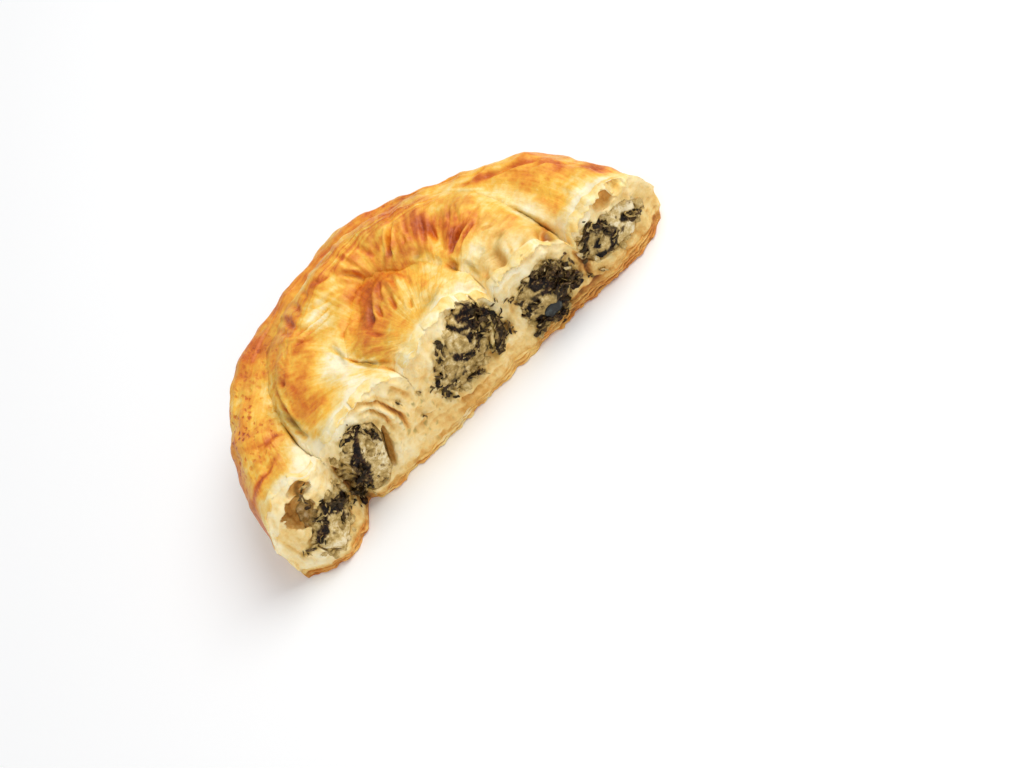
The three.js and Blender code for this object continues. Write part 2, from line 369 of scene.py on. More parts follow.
# Wilted spinach bound with egg and cheese: near-black wet leaves in an ochre custard.
def spinachAndCheese():
    material, tree, shader = newMaterial("spinachAndCheese")
    look = fillingLook
    place = addNode(tree, "TexCoord", out="Object")
    custard = addNode(tree, "Attribute", out="Fac", attribute_name="custard")
    tone = addNode(tree, "Attribute", out="Fac", attribute_name="tone")
    veined = {"Vector": place, "Scale": perMetre(look["vein"]), "Detail": 5, "Roughness": 0.68}
    fleck = addNode(tree, "TexNoise", inputs=veined)
    toned = addNode(tree, "Math", fleck, tone, operation="ADD")
    leaf = addNode(tree, "ValToRGB", toned, stops=look["leafStops"])
    cream = addNode(tree, "ValToRGB", toned, stops=look["custardStops"])
    raised = {"Strength": 0.7, "Distance": 0.0008, "Height": fleck}
    gloss = {"Value": custard, "To Min": 0.3, "To Max": 0.5}
    glint = {"Value": custard, "To Min": 0.22, "To Max": 0.5}
    surface = {
        "Base Color": addNode(tree, "Mix", out=2, inputs={0: custard, 6: leaf, 7: cream}, data_type="RGBA"),
        "Normal": addNode(tree, "Bump", inputs=raised),
        "Roughness": addNode(tree, "MapRange", inputs=gloss),
        "Specular IOR Level": addNode(tree, "MapRange", inputs=glint),
        "IOR": 1.42,
    }
    plug(tree, shader, surface)
    return material


# The smooth back of one spinach leaf: wet, grey-green and nearly black.
def wetLeaf():
    material, tree, shader = newMaterial("wetLeaf")
    place = addNode(tree, "TexCoord", out="Object")
    veined = {"Vector": place, "Scale": perMetre(fillingLook["smoothVein"]), "Detail": 5}
    fleck = addNode(tree, "TexNoise", inputs=veined)
    raised = {"Strength": 0.7, "Distance": 0.001, "Height": fleck}
    surface = {
        "Base Color": addNode(tree, "ValToRGB", fleck, stops=fillingLook["smoothStops"]),
        "Normal": addNode(tree, "Bump", inputs=raised),
        "Roughness": 0.35,
    }
    plug(tree, shader, surface)
    return material


filo = bakedFilo()
spinach = spinachAndCheese()
smoothLeaf = wetLeaf()
print("materials made")

# Values at even steps from the torn face's right end, round the back, to its left end.
coil = {
    "rimRadius": [
        75.5, 72, 73, 72, 69.5, 69.5, 65.5, 69.5, 70.5, 76, 72, 72.5, 76, 76.5, 79, 76, 74.5, 74, 75.5,
    ],
    "outerGrooveRadius": [47, 47.5, 54, 59, 60.5, 61.5, 60, 53, 47],
    "innerGrooveRadius": [20, 22.5, 25.5, 31, 42, 36.5, 30, 16, 13],
    "outerRingHeight": [27, 27.5, 28, 28, 28, 29, 30, 30.5, 29.5],
    "middleRingHeight": [28.5, 30, 32.5, 34, 34.5, 34, 33, 32, 32],
    "coreHeight": 33,
    "outerGrooveDepth": [7, 7, 5.5, 4, 4, 5, 6, 7, 7],
    "innerGrooveDepth": 6,
    "outerFill": [0, 0.5, 2.0, 2.6, 2.6, 2.4, 1.5, 0.5, 0],  # how much baking closed the outer groove
    "outerLine": [1.6, 1.2, 0.4, 0.2, 0.2, 0.4, 1.0, 1.9, 2.0],  # depth of the line left in it
    "innerFill": [0, 0, 0.6, 1.8, 2.0, 1.8, 0.8, 0, 0],
    "innerLine": [1.1, 1.1, 0.9, 0.4, 0.1, 0.3, 1.0, 1.6, 1.6],
    "footInset": [4, 5, 5, 5, 5, 5, 4, 2.5, 1],
    "widestAt": 0.4,  # share of the outer ring's height
    "underShare": 0.36,  # share of the wall's steps that lie below its widest place
    "fullness": 2.4,  # how square the rings are on top: 2 is round
    "tearLow": [(-61, 9.5, -7.2), (76, 7, 5), (54, 12, -2.4)],  # x, reach and depth of its bulges low down
    "tearHigh": [(16, 11, 6), (-23, 10, 1.6)],
    "tearNotch": [(-46, 3.2, 5)],  # between the outer and the middle ring
    "tearLean": 2.6,  # how far its top leans back
    "tearReach": 11,  # how far behind the torn face its bulges fade out
    "wallSteps": 42,
    "slopeSteps": 28,
    "middleSteps": 62,
    "coreSteps": 54,
    "roundSteps": 410,
    "faceSteps": 56,
    "crowding": 0.3,  # how much closer the steps round the coil lie at the tear
}
acrossSteps = coil["wallSteps"] + coil["slopeSteps"] + coil["middleSteps"] + coil["coreSteps"]
wallEnd = coil["wallSteps"] / acrossSteps
slopeEnd = wallEnd + coil["slopeSteps"] / acrossSteps
middleEnd = slopeEnd + coil["middleSteps"] / acrossSteps


def tearDepth(x, z):  # how far the torn face stands behind y = 0
    low, high, notch = (
        sum(depth * bump(x - at, reach) for at, reach, depth in coil[name])
        for name in ("tearLow", "tearHigh", "tearNotch")
    )
    up = smooth(z, 0, coil["coreHeight"])
    leanBack = coil["tearLean"] * smooth(z, 17, 33) ** 1.5
    crags = 0.9 * lumps(x, 3.3, z, 7, 1) + 0.8 * lumps(x, 8.1, z, 2.9, 2)
    return low * (1 - up) + high * up + notch + leanBack + crags


def arched(foot, top, place):
    return foot + (top - foot) * np.sqrt(np.maximum(1 - np.abs(place) ** coil["fullness"], 0))


def section(angle, t):  # radius and height of the crust, from the ground (t 0) to the centre
    share = angle / math.pi
    rim = along(coil["rimRadius"], share)
    outerGroove = along(coil["outerGrooveRadius"], share)
    innerGroove = along(coil["innerGrooveRadius"], share)
    outerHeight = along(coil["outerRingHeight"], share)
    middleHeight = along(coil["middleRingHeight"], share)
    outerFoot = np.minimum(outerHeight, middleHeight) - along(coil["outerGrooveDepth"], share)
    innerFoot = np.minimum(middleHeight, coil["coreHeight"]) - coil["innerGrooveDepth"]
    halfWidth = (rim - outerGroove) / 2
    widest = coil["widestAt"] * outerHeight
    under = coil["underShare"]
    s = np.clip(t / wallEnd, 0, 1)
    down = np.clip(1 - s / under, 0, 1)
    turn = 0.5 * math.pi * np.clip((s - under) / (1 - under), 0, 1)
    below = rim - along(coil["footInset"], share) * down**2
    above = rim - halfWidth + halfWidth * np.cos(turn) ** 0.85
    wallR = np.where(s < under, below, above)
    wallZ = np.where(s < under, widest * (1 - down), widest + (outerHeight - widest) * np.sin(turn))
    s = np.clip((t - wallEnd) / (slopeEnd - wallEnd), 0, 1)
    slopeR = rim - halfWidth + (outerGroove - rim + halfWidth) * s
    slopeZ = arched(outerFoot, outerHeight, s)
    s = np.clip((t - slopeEnd) / (middleEnd - slopeEnd), 0, 1)
    middleR = outerGroove + (innerGroove - outerGroove) * s
    middleZ = arched(outerFoot + (innerFoot - outerFoot) * s, middleHeight, 2 * s - 1)
    s = np.clip((1 - t) / (1 - middleEnd), 0, 1)
    regions = [t <= wallEnd, t <= slopeEnd, t <= middleEnd]
    radius = np.select(regions, [wallR, slopeR, middleR], innerGroove * s)
    height = np.select(regions, [wallZ, slopeZ, middleZ], arched(innerFoot, coil["coreHeight"], s))
    return radius, height


# Relief on top: x to the right, y away from the tear. A patch's last value, if given, is its turn.
topShape = {
    "folds": [  # line, height and reach of a layer's edge: the dough left of the line lies higher
        ([(-13, 5), (-17, 11), (-20.5, 18), (-22, 26), (-20, 33)], 1.6, 7),
        ([(22, 9), (19, 18), (14, 26), (9, 33)], 0.8, 6),
        ([(-1.7, 42), (-6, 37), (-10, 32.5), (-13, 27)], 0.8, 3),
        ([(0.5, 39), (-3, 33), (-6.5, 27), (-8, 21)], 0.9, 2.6),
        ([(5, 36), (2, 30), (1, 24), (2, 18)], 0.7, 3),
        ([(20, 40), (21, 32), (20, 25), (22, 19)], -0.9, 4),
        ([(33, 38), (31, 30), (28, 24), (23, 20)], 0.9, 4),
        ([(38, 33), (36, 26), (32, 21), (26, 17)], 0.7, 4),
        ([(17, 56), (16, 50), (13, 44), (8, 39.5)], -0.8, 5),
        ([(-27, 56), (-27, 49), (-25, 42), (-22, 37)], 0.9, 4),
        ([(-36, 50), (-33, 44), (-28, 38), (-23, 34)], 0.7, 4),
        ([(60, 27), (54, 31), (47, 35), (42, 39)], 0.7, 4),
        ([(67, 15), (62, 22), (56, 27), (50, 31)], 0.6, 4),
        ([(18, 60), (28, 55.5), (37, 50), (46, 42)], -0.7, 4),
        ([(-44, 50), (-36, 56), (-26, 61), (-14, 64)], 0.6, 4),
        ([(14, 28.6), (17.4, 24.6), (18.6, 19)], 0.7, 2.5),
    ],
    "creases": [  # line, depth and width of a narrow valley with soft lips
        ([(8, 37.5), (11, 41.4), (14.6, 45.4)], 3, 0.55),
        ([(13.6, 36.4), (14.4, 37.6), (15.2, 38.6)], 0.8, 0.5),
        ([(-5.6, 31), (-7.6, 27), (-9.4, 23.2)], 1.4, 0.8),
        ([(-4.6, 27), (-5.4, 24.5), (-6, 21.8)], 1.1, 0.6),
        ([(-0.2, 26), (-0.8, 23), (-1.4, 19.8)], 1, 0.6),
        ([(3.4, 19.5), (2.7, 17), (1.9, 14.4)], 0.7, 0.6),
        ([(0.8, 34.8), (-1.4, 31), (-3, 27.6)], 0.8, 0.7),
        ([(4, 33), (3.2, 29), (2.4, 24.6)], 0.7, 0.7),
        ([(7, 30.6), (7, 27), (6.4, 23)], 0.5, 0.7),
        ([(-11.5, 21), (-10.5, 18), (-9, 16)], 0.6, 0.7),
        ([(7.3, 32.9), (10.4, 31.7), (12.8, 28.2), (14, 26.4)], 0.9, 0.6),
        ([(20.6, 21.6), (25, 23.4), (30.4, 25.2)], 1.5, 0.7),
        ([(21.8, 22.6), (24.4, 25), (27, 27)], 1, 0.6),
        ([(23.6, 19.8), (28, 21.6), (32, 23)], 0.9, 0.6),
        ([(20.5, 29.2), (21.6, 32), (23.2, 35.6)], 0.8, 0.6),
        ([(18, 31), (20, 35), (23, 40)], 0.6, 0.6),
        ([(16, 35), (17, 40), (20, 46)], 0.5, 0.6),
        ([(27, 30), (29, 33), (31, 37)], 0.6, 0.6),
        ([(31.8, 18.9), (33.4, 18.4), (35, 18.2)], 0.7, 0.6),
        ([(-27.5, 55), (-26.5, 50), (-27, 44)], 0.6, 0.9),
        ([(-23, 56), (-22, 51), (-22.5, 46)], 0.6, 0.8),
        ([(-18, 56), (-17.5, 52), (-18, 48)], 0.4, 0.7),
        ([(-31, 52), (-30, 47), (-29, 42)], 0.4, 0.7),
        ([(-14, 52), (-12, 49), (-8, 48)], 0.6, 0.7),
        ([(-6.5, 46.4), (-3, 43.6), (0, 41.5)], 0.9, 0.6),
        ([(-29, 41), (-22, 40), (-14, 41)], 0.9, 0.6),
        ([(-30, 37.5), (-23, 37.5), (-15, 38.6)], 0.9, 0.6),
        ([(-22, 45), (-15, 43), (-9, 42.4)], 0.7, 0.6),
        ([(3, 50), (4, 46), (5, 42)], 0.6, 0.7),
        ([(-3, 53), (-2, 49), (-1, 45)], 0.5, 0.7),
        ([(31, 46), (35, 41), (39, 36), (41, 30)], 0.6, 0.8),
        ([(46.8, 41), (44.4, 41.8), (42.2, 43)], 0.8, 0.7),
        ([(37.4, 43.6), (39, 42.4), (40.6, 41.4)], 0.7, 0.6),
        ([(55, 31), (50, 35), (44, 38)], 0.8, 0.7),
        ([(60, 27), (55, 32), (49, 37)], 0.7, 0.8),
        ([(64, 20), (60, 25), (55, 28)], 0.7, 0.7),
        ([(69, 8), (67.5, 13), (64, 18)], 0.8, 0.8),
        ([(42.4, 3), (43.4, 6), (45, 9)], 1.6, 0.7),
        ([(43.2, 24.4), (44.4, 18), (45.8, 11.8)], 1.3, 0.5),
        ([(-42.6, 35), (-44.2, 28), (-45.6, 21), (-46.4, 14), (-45.4, 8)], 1.9, 0.6),
        ([(-23.4, 29), (-22.4, 24), (-20.4, 17), (-16.6, 10), (-12.4, 4)], 1.6, 0.5),
        ([(-12.6, 33), (-15.6, 31), (-19, 29.6)], 0.7, 0.5),
        ([(-33, 39), (-26, 36), (-19, 35)], 0.6, 0.6),
        ([(-66, 11), (-60, 12), (-56, 13.4)], 0.6, 0.9),
        ([(-59, 20.4), (-55, 20), (-51.5, 21.6)], 0.6, 0.9),
        ([(21.9, 15.4), (22.5, 13), (22.8, 11)], 0.8, 0.5),
    ],
    "dents": [  # x, y, reach along and across, depth
        (7, 12, 2.6, 2.2, 1.9), (29.4, 7.6, 2.1, 5.4, 2.5, -8), (27.4, 13.8, 1.4, 1.6, 1.1),
        (34, 13.4, 2, 1.6, 1.2), (37, 5, 2, 1.8, 1.1), (23.4, 7.6, 1.3, 2.2, 1),
        (18.7, 18.6, 1.2, 1.7, 2.2), (13.7, 30.5, 1.2, 1, 0.8), (-26, 20, 5, 9, 0.9),
        (-17, 40, 4, 3, 0.8), (44, 4, 2.2, 3, 1.4), (-40.1, 31.3, 0.8, 0.8, 1.1),
    ],
    "fans": [  # x, y, reach, depth and tint of pleats that run out from where the sheets gather
        (2, 37.5, 14, 0.9, 0.24), (18.5, 19, 9, 0.7, 0.18),
    ],
    "pleats": [  # x, y, reach along and across, depth and tint of pleats that lie across the rope
        (27, 28, 9, 12, 0.9, 0.24, 45), (-25, 49, 9, 8, 0.55, 0.2), (0, 51, 15, 7, 0.5, 0.26),
        (22, 46, 9, 9, 0.5, 0.22), (-38, 38, 6, 9, 0.4, 0.22), (-37, 16, 5, 8, 0.25, 0.2),
        (31, 8, 9, 7, 0.7, 0.16), (-58, 18, 8, 8, 0.3, 0.26), (-13, 12, 6, 8, 0.4, 0.2),
    ],
}


def foldLift(x, y, line, high, reach):
    gap, side, share = nearLine(x, y, line)
    signed = gap * side
    edge = 0.5 + 0.5 * np.tanh(signed / 0.45)
    fall = np.where(signed > 0, np.exp(-gap / reach), np.exp(-gap / 0.8))
    step = np.sign(high) * (edge * fall) - 0.25 * bump(gap, 0.9)
    return abs(high) * fadeOut(share, 0.02, 0.6) * step


def creaseLift(x, y, line, deep, wide):
    gap, _, share = nearLine(x, y, line)
    lips = bump(gap - 2.1 * wide, wide)
    return deep * fadeOut(share, 0.01, 0.7) * (0.35 * lips - bump(gap, wide))


def ringGroove(angle, radius, ring, wide):  # 1 in the groove inside a ring, fading out over its width
    return bump(radius - along(coil[ring + "GrooveRadius"], angle / math.pi), wide)


def topRelief(x, y):
    total = -patched(x, y, topShape["dents"])
    for fold in topShape["folds"]:
        total += foldLift(x, y, *fold)
    for crease in topShape["creases"]:
        total += creaseLift(x, y, *crease)
    return total


def gathered(x, y, angle, radius):  # height of the fine pleats, in mm, and how they tint
    total = np.zeros(x.shape)
    tint = np.zeros(x.shape)
    for i, (px, py, reach, deep, tinted) in enumerate(topShape["fans"]):
        dx, dy = x - px, y - py
        far = np.hypot(dx, dy) + 1e-6
        run = 7 / far
        wave = lumps(dx * run, dy * run, 0.07 * far, 1.5, 60 + i)
        here = bump(far, reach) * smooth(far, 2.5, 8) * (1 - smooth(radius, 50, 56))
        total += deep * here * wave
        tint += tinted * here * wave
    run = angle * (36 + 28 * smooth(radius, 48, 58))  # along the ropes, in mm
    broad = lumps(run, 0.1 * radius, 0, 3.0, 3)
    narrow = lumps(run, 0.16 * radius, 0, 1.3, 33)
    seam = ridges(run, 0.1 * radius, 0, 3.4, 34) ** 8
    clear = 1 - 0.7 * ringGroove(angle, radius, "outer", 3.5)
    for px, py, a, b, deep, tinted, *turn in topShape["pleats"]:
        here = inPatch(x, y, px, py, a, b, *turn) * clear
        total += here * deep * (0.9 * broad + 0.3 * narrow - 0.4 * seam)
        tint += here * tinted * (0.8 * broad + 0.5 * narrow)
    return total, tint


def fineRelief(x, y, z, angle, radius):
    across = lumps(angle * 45, radius * 0.14, 0.2 * z, 2.6, 3)  # wrinkles that run across the rope
    acrossHere = smooth(lumps(x, y, z, 15, 4), -0.25, 0.35) * smooth(radius, 3, 12)
    lengthwise = lumps(angle * 7, radius, z, 2.2, 5)  # layers' edges that run along the rope
    outside = smooth(radius - along(coil["outerGrooveRadius"], angle / math.pi), 1, 6)
    wrinkles = -0.3 * acrossHere * (1 - outside) * np.abs(across) ** 0.7
    layers = outside * (0.34 * lengthwise + 0.55 * lumps(angle * 9, radius, z, 5, 8))
    swells = 0.75 * outside * lumps(x, y, z, 9, 10)
    return wrinkles + layers + swells + 0.1 * lumps(x, y, z, 1.7, 6) + 0.4 * lumps(x, y, z, 5.5, 7)


def orderedGrid(name, columns, rows):  # a grid's mesh, its points' order by column, and their u and v
    bm = bmesh.new()
    bmesh.ops.create_grid(bm, x_segments=columns, y_segments=rows, size=1)
    grid = meshFrom(bm, name)
    flat = pointsOf(grid)
    order = np.lexsort((np.round(flat[:, 1], 6), np.round(flat[:, 0], 6)))
    u, v = ((flat[order, k].reshape(columns + 1, rows + 1) + 1) / 2 for k in (0, 1))
    return grid, order, u, v


def layOut(grid, order, points, tint, skin):  # skin is 1 on the crust and 0 on the torn face
    back = np.argsort(order)
    setPoints(grid, placed(points.reshape(-1, 3)[back]))
    paint(grid, tint=tint.ravel()[back], skin=skin)


def surfaceNormals(points):
    normals = np.cross(np.gradient(points, axis=1), np.gradient(points, axis=0))
    long = np.linalg.norm(normals, axis=-1, keepdims=True)
    normals = np.where(long > 1e-9, normals / np.maximum(long, 1e-9), (0, 0, 1))
    return normals * np.sign((normals[..., 2] + normals[..., 0] * points[..., 0] / 80).mean())


def softened(field, rounds):  # averages each value with its neighbours
    for _ in range(rounds):
        padded = np.pad(field, 1, mode="edge")
        beside = padded[:-2, 1:-1] + padded[2:, 1:-1] + padded[1:-1, :-2] + padded[1:-1, 2:]
        field = (4 * field + beside) / 8
    return field


def liftToFrame(points, normals):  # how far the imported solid's crust lies beyond these points
    tree = treeOf(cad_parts["pastry"].data)
    reach = 5  # how far out the search starts, in mm
    starts = placed(points + reach * normals)
    lift = np.full(points.shape[:2], np.nan)
    for i, j in np.argwhere(points[..., 1] > 4.5):  # not where the tear pushes the crust in or out
        hit = tree.ray_cast(Vector(starts[i, j]), Vector(-normals[i, j]), 2 * reach * mm)
        if hit[0] is not None:
            lift[i, j] = reach - hit[3] / mm
    rows = np.arange(len(lift))
    for column in lift.T:
        known = ~np.isnan(column)
        column[:] = np.interp(rows, rows[known], column[known]) if known.any() else 0
    return softened(np.clip(lift, -4, 4), 14)


def crustPoints(angle, t):  # the crust's points and how its small relief tints them
    radius, height = section(angle, t)
    x = radius * np.cos(angle)
    y = np.maximum(radius * np.sin(angle), 0)
    base = np.stack([x, y, height], -1)
    normals = surfaceNormals(base)
    pleated, tint = gathered(x, y, angle, radius)
    onTop = smooth(height, 14, 22)
    fine = fineRelief(x, y, height, angle, radius)
    detail = (topRelief(x, y) + pleated) * onTop + fine
    share = angle / math.pi
    uneven = 1 + 0.7 * lumps(angle * 60, 0, 0, 9, 18) + 0.3 * lumps(angle * 60, 0, 0, 3, 19)
    grooves = 0
    for ring, lineWide, fillWide in (("outer", 0.9, 2.8), ("inner", 1.0, 2.6)):
        fill = along(coil[ring + "Fill"], share) * np.clip(uneven, 0.2, 1.6)
        line = along(coil[ring + "Line"], share) * np.clip(1.3 - 0.6 * uneven, 0.1, 1.2)
        grooves = grooves + line * ringGroove(angle, radius, ring, lineWide)
        grooves = grooves - fill * ringGroove(angle, radius, ring, fillWide)
    detail = smooth(height, 0, 6) * (detail - grooves * smooth(height, 10, 18))
    lift = liftToFrame(base, normals) + detail
    pole = smooth(radius, 0.5, 4)[..., None]
    normals = normals * pole + np.array((0, 0, 1)) * (1 - pole)
    points = base + lift[..., None] * normals
    points[..., 1:] = np.maximum(points[..., 1:], 0)
    points[[0, -1], :, 1] = 0
    points[:, 0, 2] = 0
    points[..., 1] += tearDepth(points[..., 0], points[..., 2]) * bump(points[..., 1], coil["tearReach"])
    return points, tint * onTop + 0.08 * fine


crustMesh, order, u, t = orderedGrid("crustGrid", coil["roundSteps"], acrossSteps)
crust, crustTint = crustPoints(math.pi * u - 0.5 * coil["crowding"] * np.sin(math.tau * u), t)
layOut(crustMesh, order, crust, crustTint, 1)
crestLine = np.concatenate([crust[-1], crust[0, ::-1]])
crestX, crestY, crestZ = crestLine[crestLine[:, 2] > 8].T  # the top edge of the torn face
print("crust", crust.shape, "z", crust[..., 2].max())


def crestAt(x):  # height of the torn face's top edge
    return np.interp(x, crestX, crestZ)


# The torn face: x to the right, z up.
faceShape = {
    "ropeEnds": [  # x, z, half the length, half the height and the lean of each end of the filling
        (58, 14, 11, 6.5, -12), (32.5, 12.5, 8.5, 10.5, -35), (5, 19, 13.5, 8, 38),
        (-37.5, 16, 7.5, 11, -25), (-56.5, 11.5, 9.5, 6.5, 35),
    ],
    "creases": [  # line, depth and width
        ([(-35, 32), (-28, 30.5), (-23.5, 26), (-21.5, 19), (-23, 11)], 2.2, 0.6),
        ([(-31, 29.5), (-27, 27), (-25, 22), (-26, 16)], 1.5, 0.5),
        ([(-29, 31.5), (-24, 29), (-20, 23)], 1.2, 0.5),
        ([(-20, 30), (-17, 25), (-16, 18)], 0.8, 0.7),
        ([(-24, 10), (-12, 11.4), (-9, 9.6)], 0.5, 0.5),
        ([(-24, 7.6), (-16, 8.2), (-8, 7.4)], 0.5, 0.5),
        ([(48, 23), (55, 26.4), (61, 24)], 0.7, 0.6),
        ([(20, 22), (27, 24.6), (34, 25)], 0.6, 0.6),
        ([(24, 27), (31, 28), (38, 26)], 1.2, 0.7),
        ([(46, 20), (46.5, 12), (45, 6)], 1.2, 0.7),
        ([(-72, 24), (-71, 14), (-69, 6)], 0.8, 0.7),
        ([(-46, 22), (-46.5, 12), (-47, 4)], 1.5, 0.8),
        ([(-49, 20), (-48.5, 14), (-48, 8)], 0.8, 0.6),
        ([(-43.5, 24), (-44, 18), (-44.5, 13)], 0.8, 0.6),
        ([(18, 6), (30, 2.6), (45, 4.6), (60, 4)], 0.7, 0.5),
        ([(-12, 7), (0, 6), (12, 5)], 0.7, 0.5),
    ],
    "hollows": [  # x, z, half sizes along x, y and z, and the lean of each hole that the tear opened
        (-61.8, 20.6, 5.6, 5.5, 5.4, 25), (-57, 26.4, 4, 3.6, 2.2, 10), (-30.4, 13.5, 1.5, 6, 8, 22),
        (64.4, 23.4, 6.4, 3.2, 2.6, -4),
    ],
    "clearance": 0.2,  # between the crust and the filling
}


def ropeGap(x, z):  # distance outside the nearest rope of filling, in mm, about
    return np.min([ovalGap(x, z, *end) for end in faceShape["ropeEnds"]], axis=0)


def inHollow(x, z, margin):  # 1 inside the hollows of the torn face, 0 a margin in mm away from them
    gaps = [ovalGap(x, z, px, pz, a, c, -lean) for px, pz, a, _, c, lean in faceShape["hollows"]]
    return 1 - smooth(np.min(gaps, axis=0), 0, margin)


def faceRelief(x, z):
    gap = ropeGap(x, z)
    wander = 1.4 * lumps(x, 4.4, z, 6, 11)
    wrapped = lumps(0.1 * x, gap + wander, 2.0, 1.1, 12)  # layers wrapped round the filling
    flat = lumps(0.08 * x, z + 0.5 * wander, 5.0, 0.8, 13)  # layers pressed flat at the bottom
    low = 1 - smooth(z, 3, 6)
    crumbs = 0.5 * lumps(x, 1.0, z, 3.8, 14) + 0.25 * lumps(x, 2.0, z, 1.4, 15)
    total = 0.5 * (1 - low) * wrapped + 0.6 * low * flat + crumbs
    total = total + 0.8 * ridges(x, 0.5, z, 8, 16) ** 5 - 0.5 * ridges(x, 6.5, z, 4, 17) ** 6
    for crease in faceShape["creases"]:
        total -= creaseLift(x, z, *crease)
    return total


def tornFace():
    grid, order, _, up = orderedGrid("faceGrid", 2 * acrossSteps, coil["faceSteps"])
    border = np.concatenate([crust[-1], crust[0, -2::-1]])[:, None, :]  # the torn edge, left to right
    edge = border[..., 0]
    wall = coil["wallSteps"]
    place = np.arange(len(border))[:, None]
    steps = np.minimum(place, place[::-1])
    foot = np.abs(edge[[0, -1], 0])
    crest = np.abs(crust[[-1, 0], wall, 0])
    leftX, rightX = (foot[i] + (crest[i] - foot[i]) * np.clip(steps / wall, 0, 1) for i in (0, 1))
    evenX = np.pad(np.maximum.accumulate(edge[:, 0]), 15, mode="edge")
    evenX = np.convolve(evenX, np.ones(31) / 31, "valid")[:, None]
    inner = smooth(steps, wall, wall + 20)
    outerX = np.where(place < acrossSteps, -leftX, rightX)
    low = np.where(steps < wall, outerX, edge * (1 - inner) + evenX * inner)
    x = low + (edge - low) * up ** (1 + 4 * inner)
    z = border[..., 2] * up
    inside = np.sin(math.pi * np.clip(up, 0, 1)) ** 0.25 * smooth(up, 0, 0.04) * (1 - smooth(up, 0.96, 1))
    relief = faceRelief(x, z) * inside
    drift = border[..., 1] - tearDepth(edge, border[..., 2])
    points = np.stack([x, tearDepth(x, z) + relief + drift * up**8, z], -1)
    points[:, -1] = border[:, 0]
    # the relief goes in as the tint, which later darkens the face's deeper places: painted shade
    layOut(grid, order, points, relief, 0)
    return grid


def pastrySolid():
    bm = mergedCopy(crustMesh, tornFace())
    foot = [e for e in bm.edges if e.is_boundary]
    base = bmesh.ops.edgeloop_fill(bm, edges=foot)["faces"]
    bmesh.ops.triangulate(bm, faces=base)
    bmesh.ops.dissolve_degenerate(bm, dist=1e-7, edges=bm.edges)
    bmesh.ops.recalc_face_normals(bm, faces=bm.faces)
    print("pastry faces", len(bm.faces), "open edges", sum(not e.is_manifold for e in bm.edges))
    return objectFrom(meshFrom(bm, "pastrySolid"), "filo_coil")


def ropeCutter(name):
    cutter = objectFrom(meshFrom(mergedCopy(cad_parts[name].data), name), name + "_cutter")
    points = unplaced(pointsOf(cutter.data)) + faceShape["clearance"] * normalsOf(cutter.data)
    depth = points[:, 1] - tearDepth(points[:, 0], points[:, 2])
    points[:, 1] -= 8 * (1 - smooth(depth, 0.2, 1.0))  # on through the torn face
    setPoints(cutter.data, placed(points))
    return cutter


def hollowCutter(i, px, pz, a, b, c, lean):
    bm = bmesh.new()
    bmesh.ops.create_icosphere(bm, subdivisions=4, radius=1)
    cutter = objectFrom(meshFrom(bm, f"hollow_{i}"), f"hollow_{i}")
    x, y, z = (pointsOf(cutter.data) * (a, b, c)).T
    x, z = turned(x, z, lean)
    points = np.stack([x + px, y, z + pz], -1)
    ragged = 0.3 * min(a, b, c)
    for k, axis in enumerate((0, 2)):
        coarse = lumps(*points.T, 2.4, 20 + k)
        points[:, axis] += ragged * coarse + 0.3 * ragged * lumps(*points.T, 0.9, 30 + k)
    setPoints(cutter.data, placed(points))
    return cutter


def cutAway(piece, cutters):
    for cutter in cutters:
        cut = piece.modifiers.new("cut", "BOOLEAN")
        cut.operation = "DIFFERENCE"
        cut.solver = "MANIFOLD"
        cut.object = cutter
    settled(piece)


pastry = pastrySolid()
ropeNames = ("filling_outer", "filling_middle", "filling_core")
ropeCutters = [ropeCutter(name) for name in ropeNames]
hollowCutters = [hollowCutter(i, *hollow) for i, hollow in enumerate(faceShape["hollows"])]
cutAway(pastry, ropeCutters + hollowCutters)
print("pastry cut", len(pastry.data.polygons))

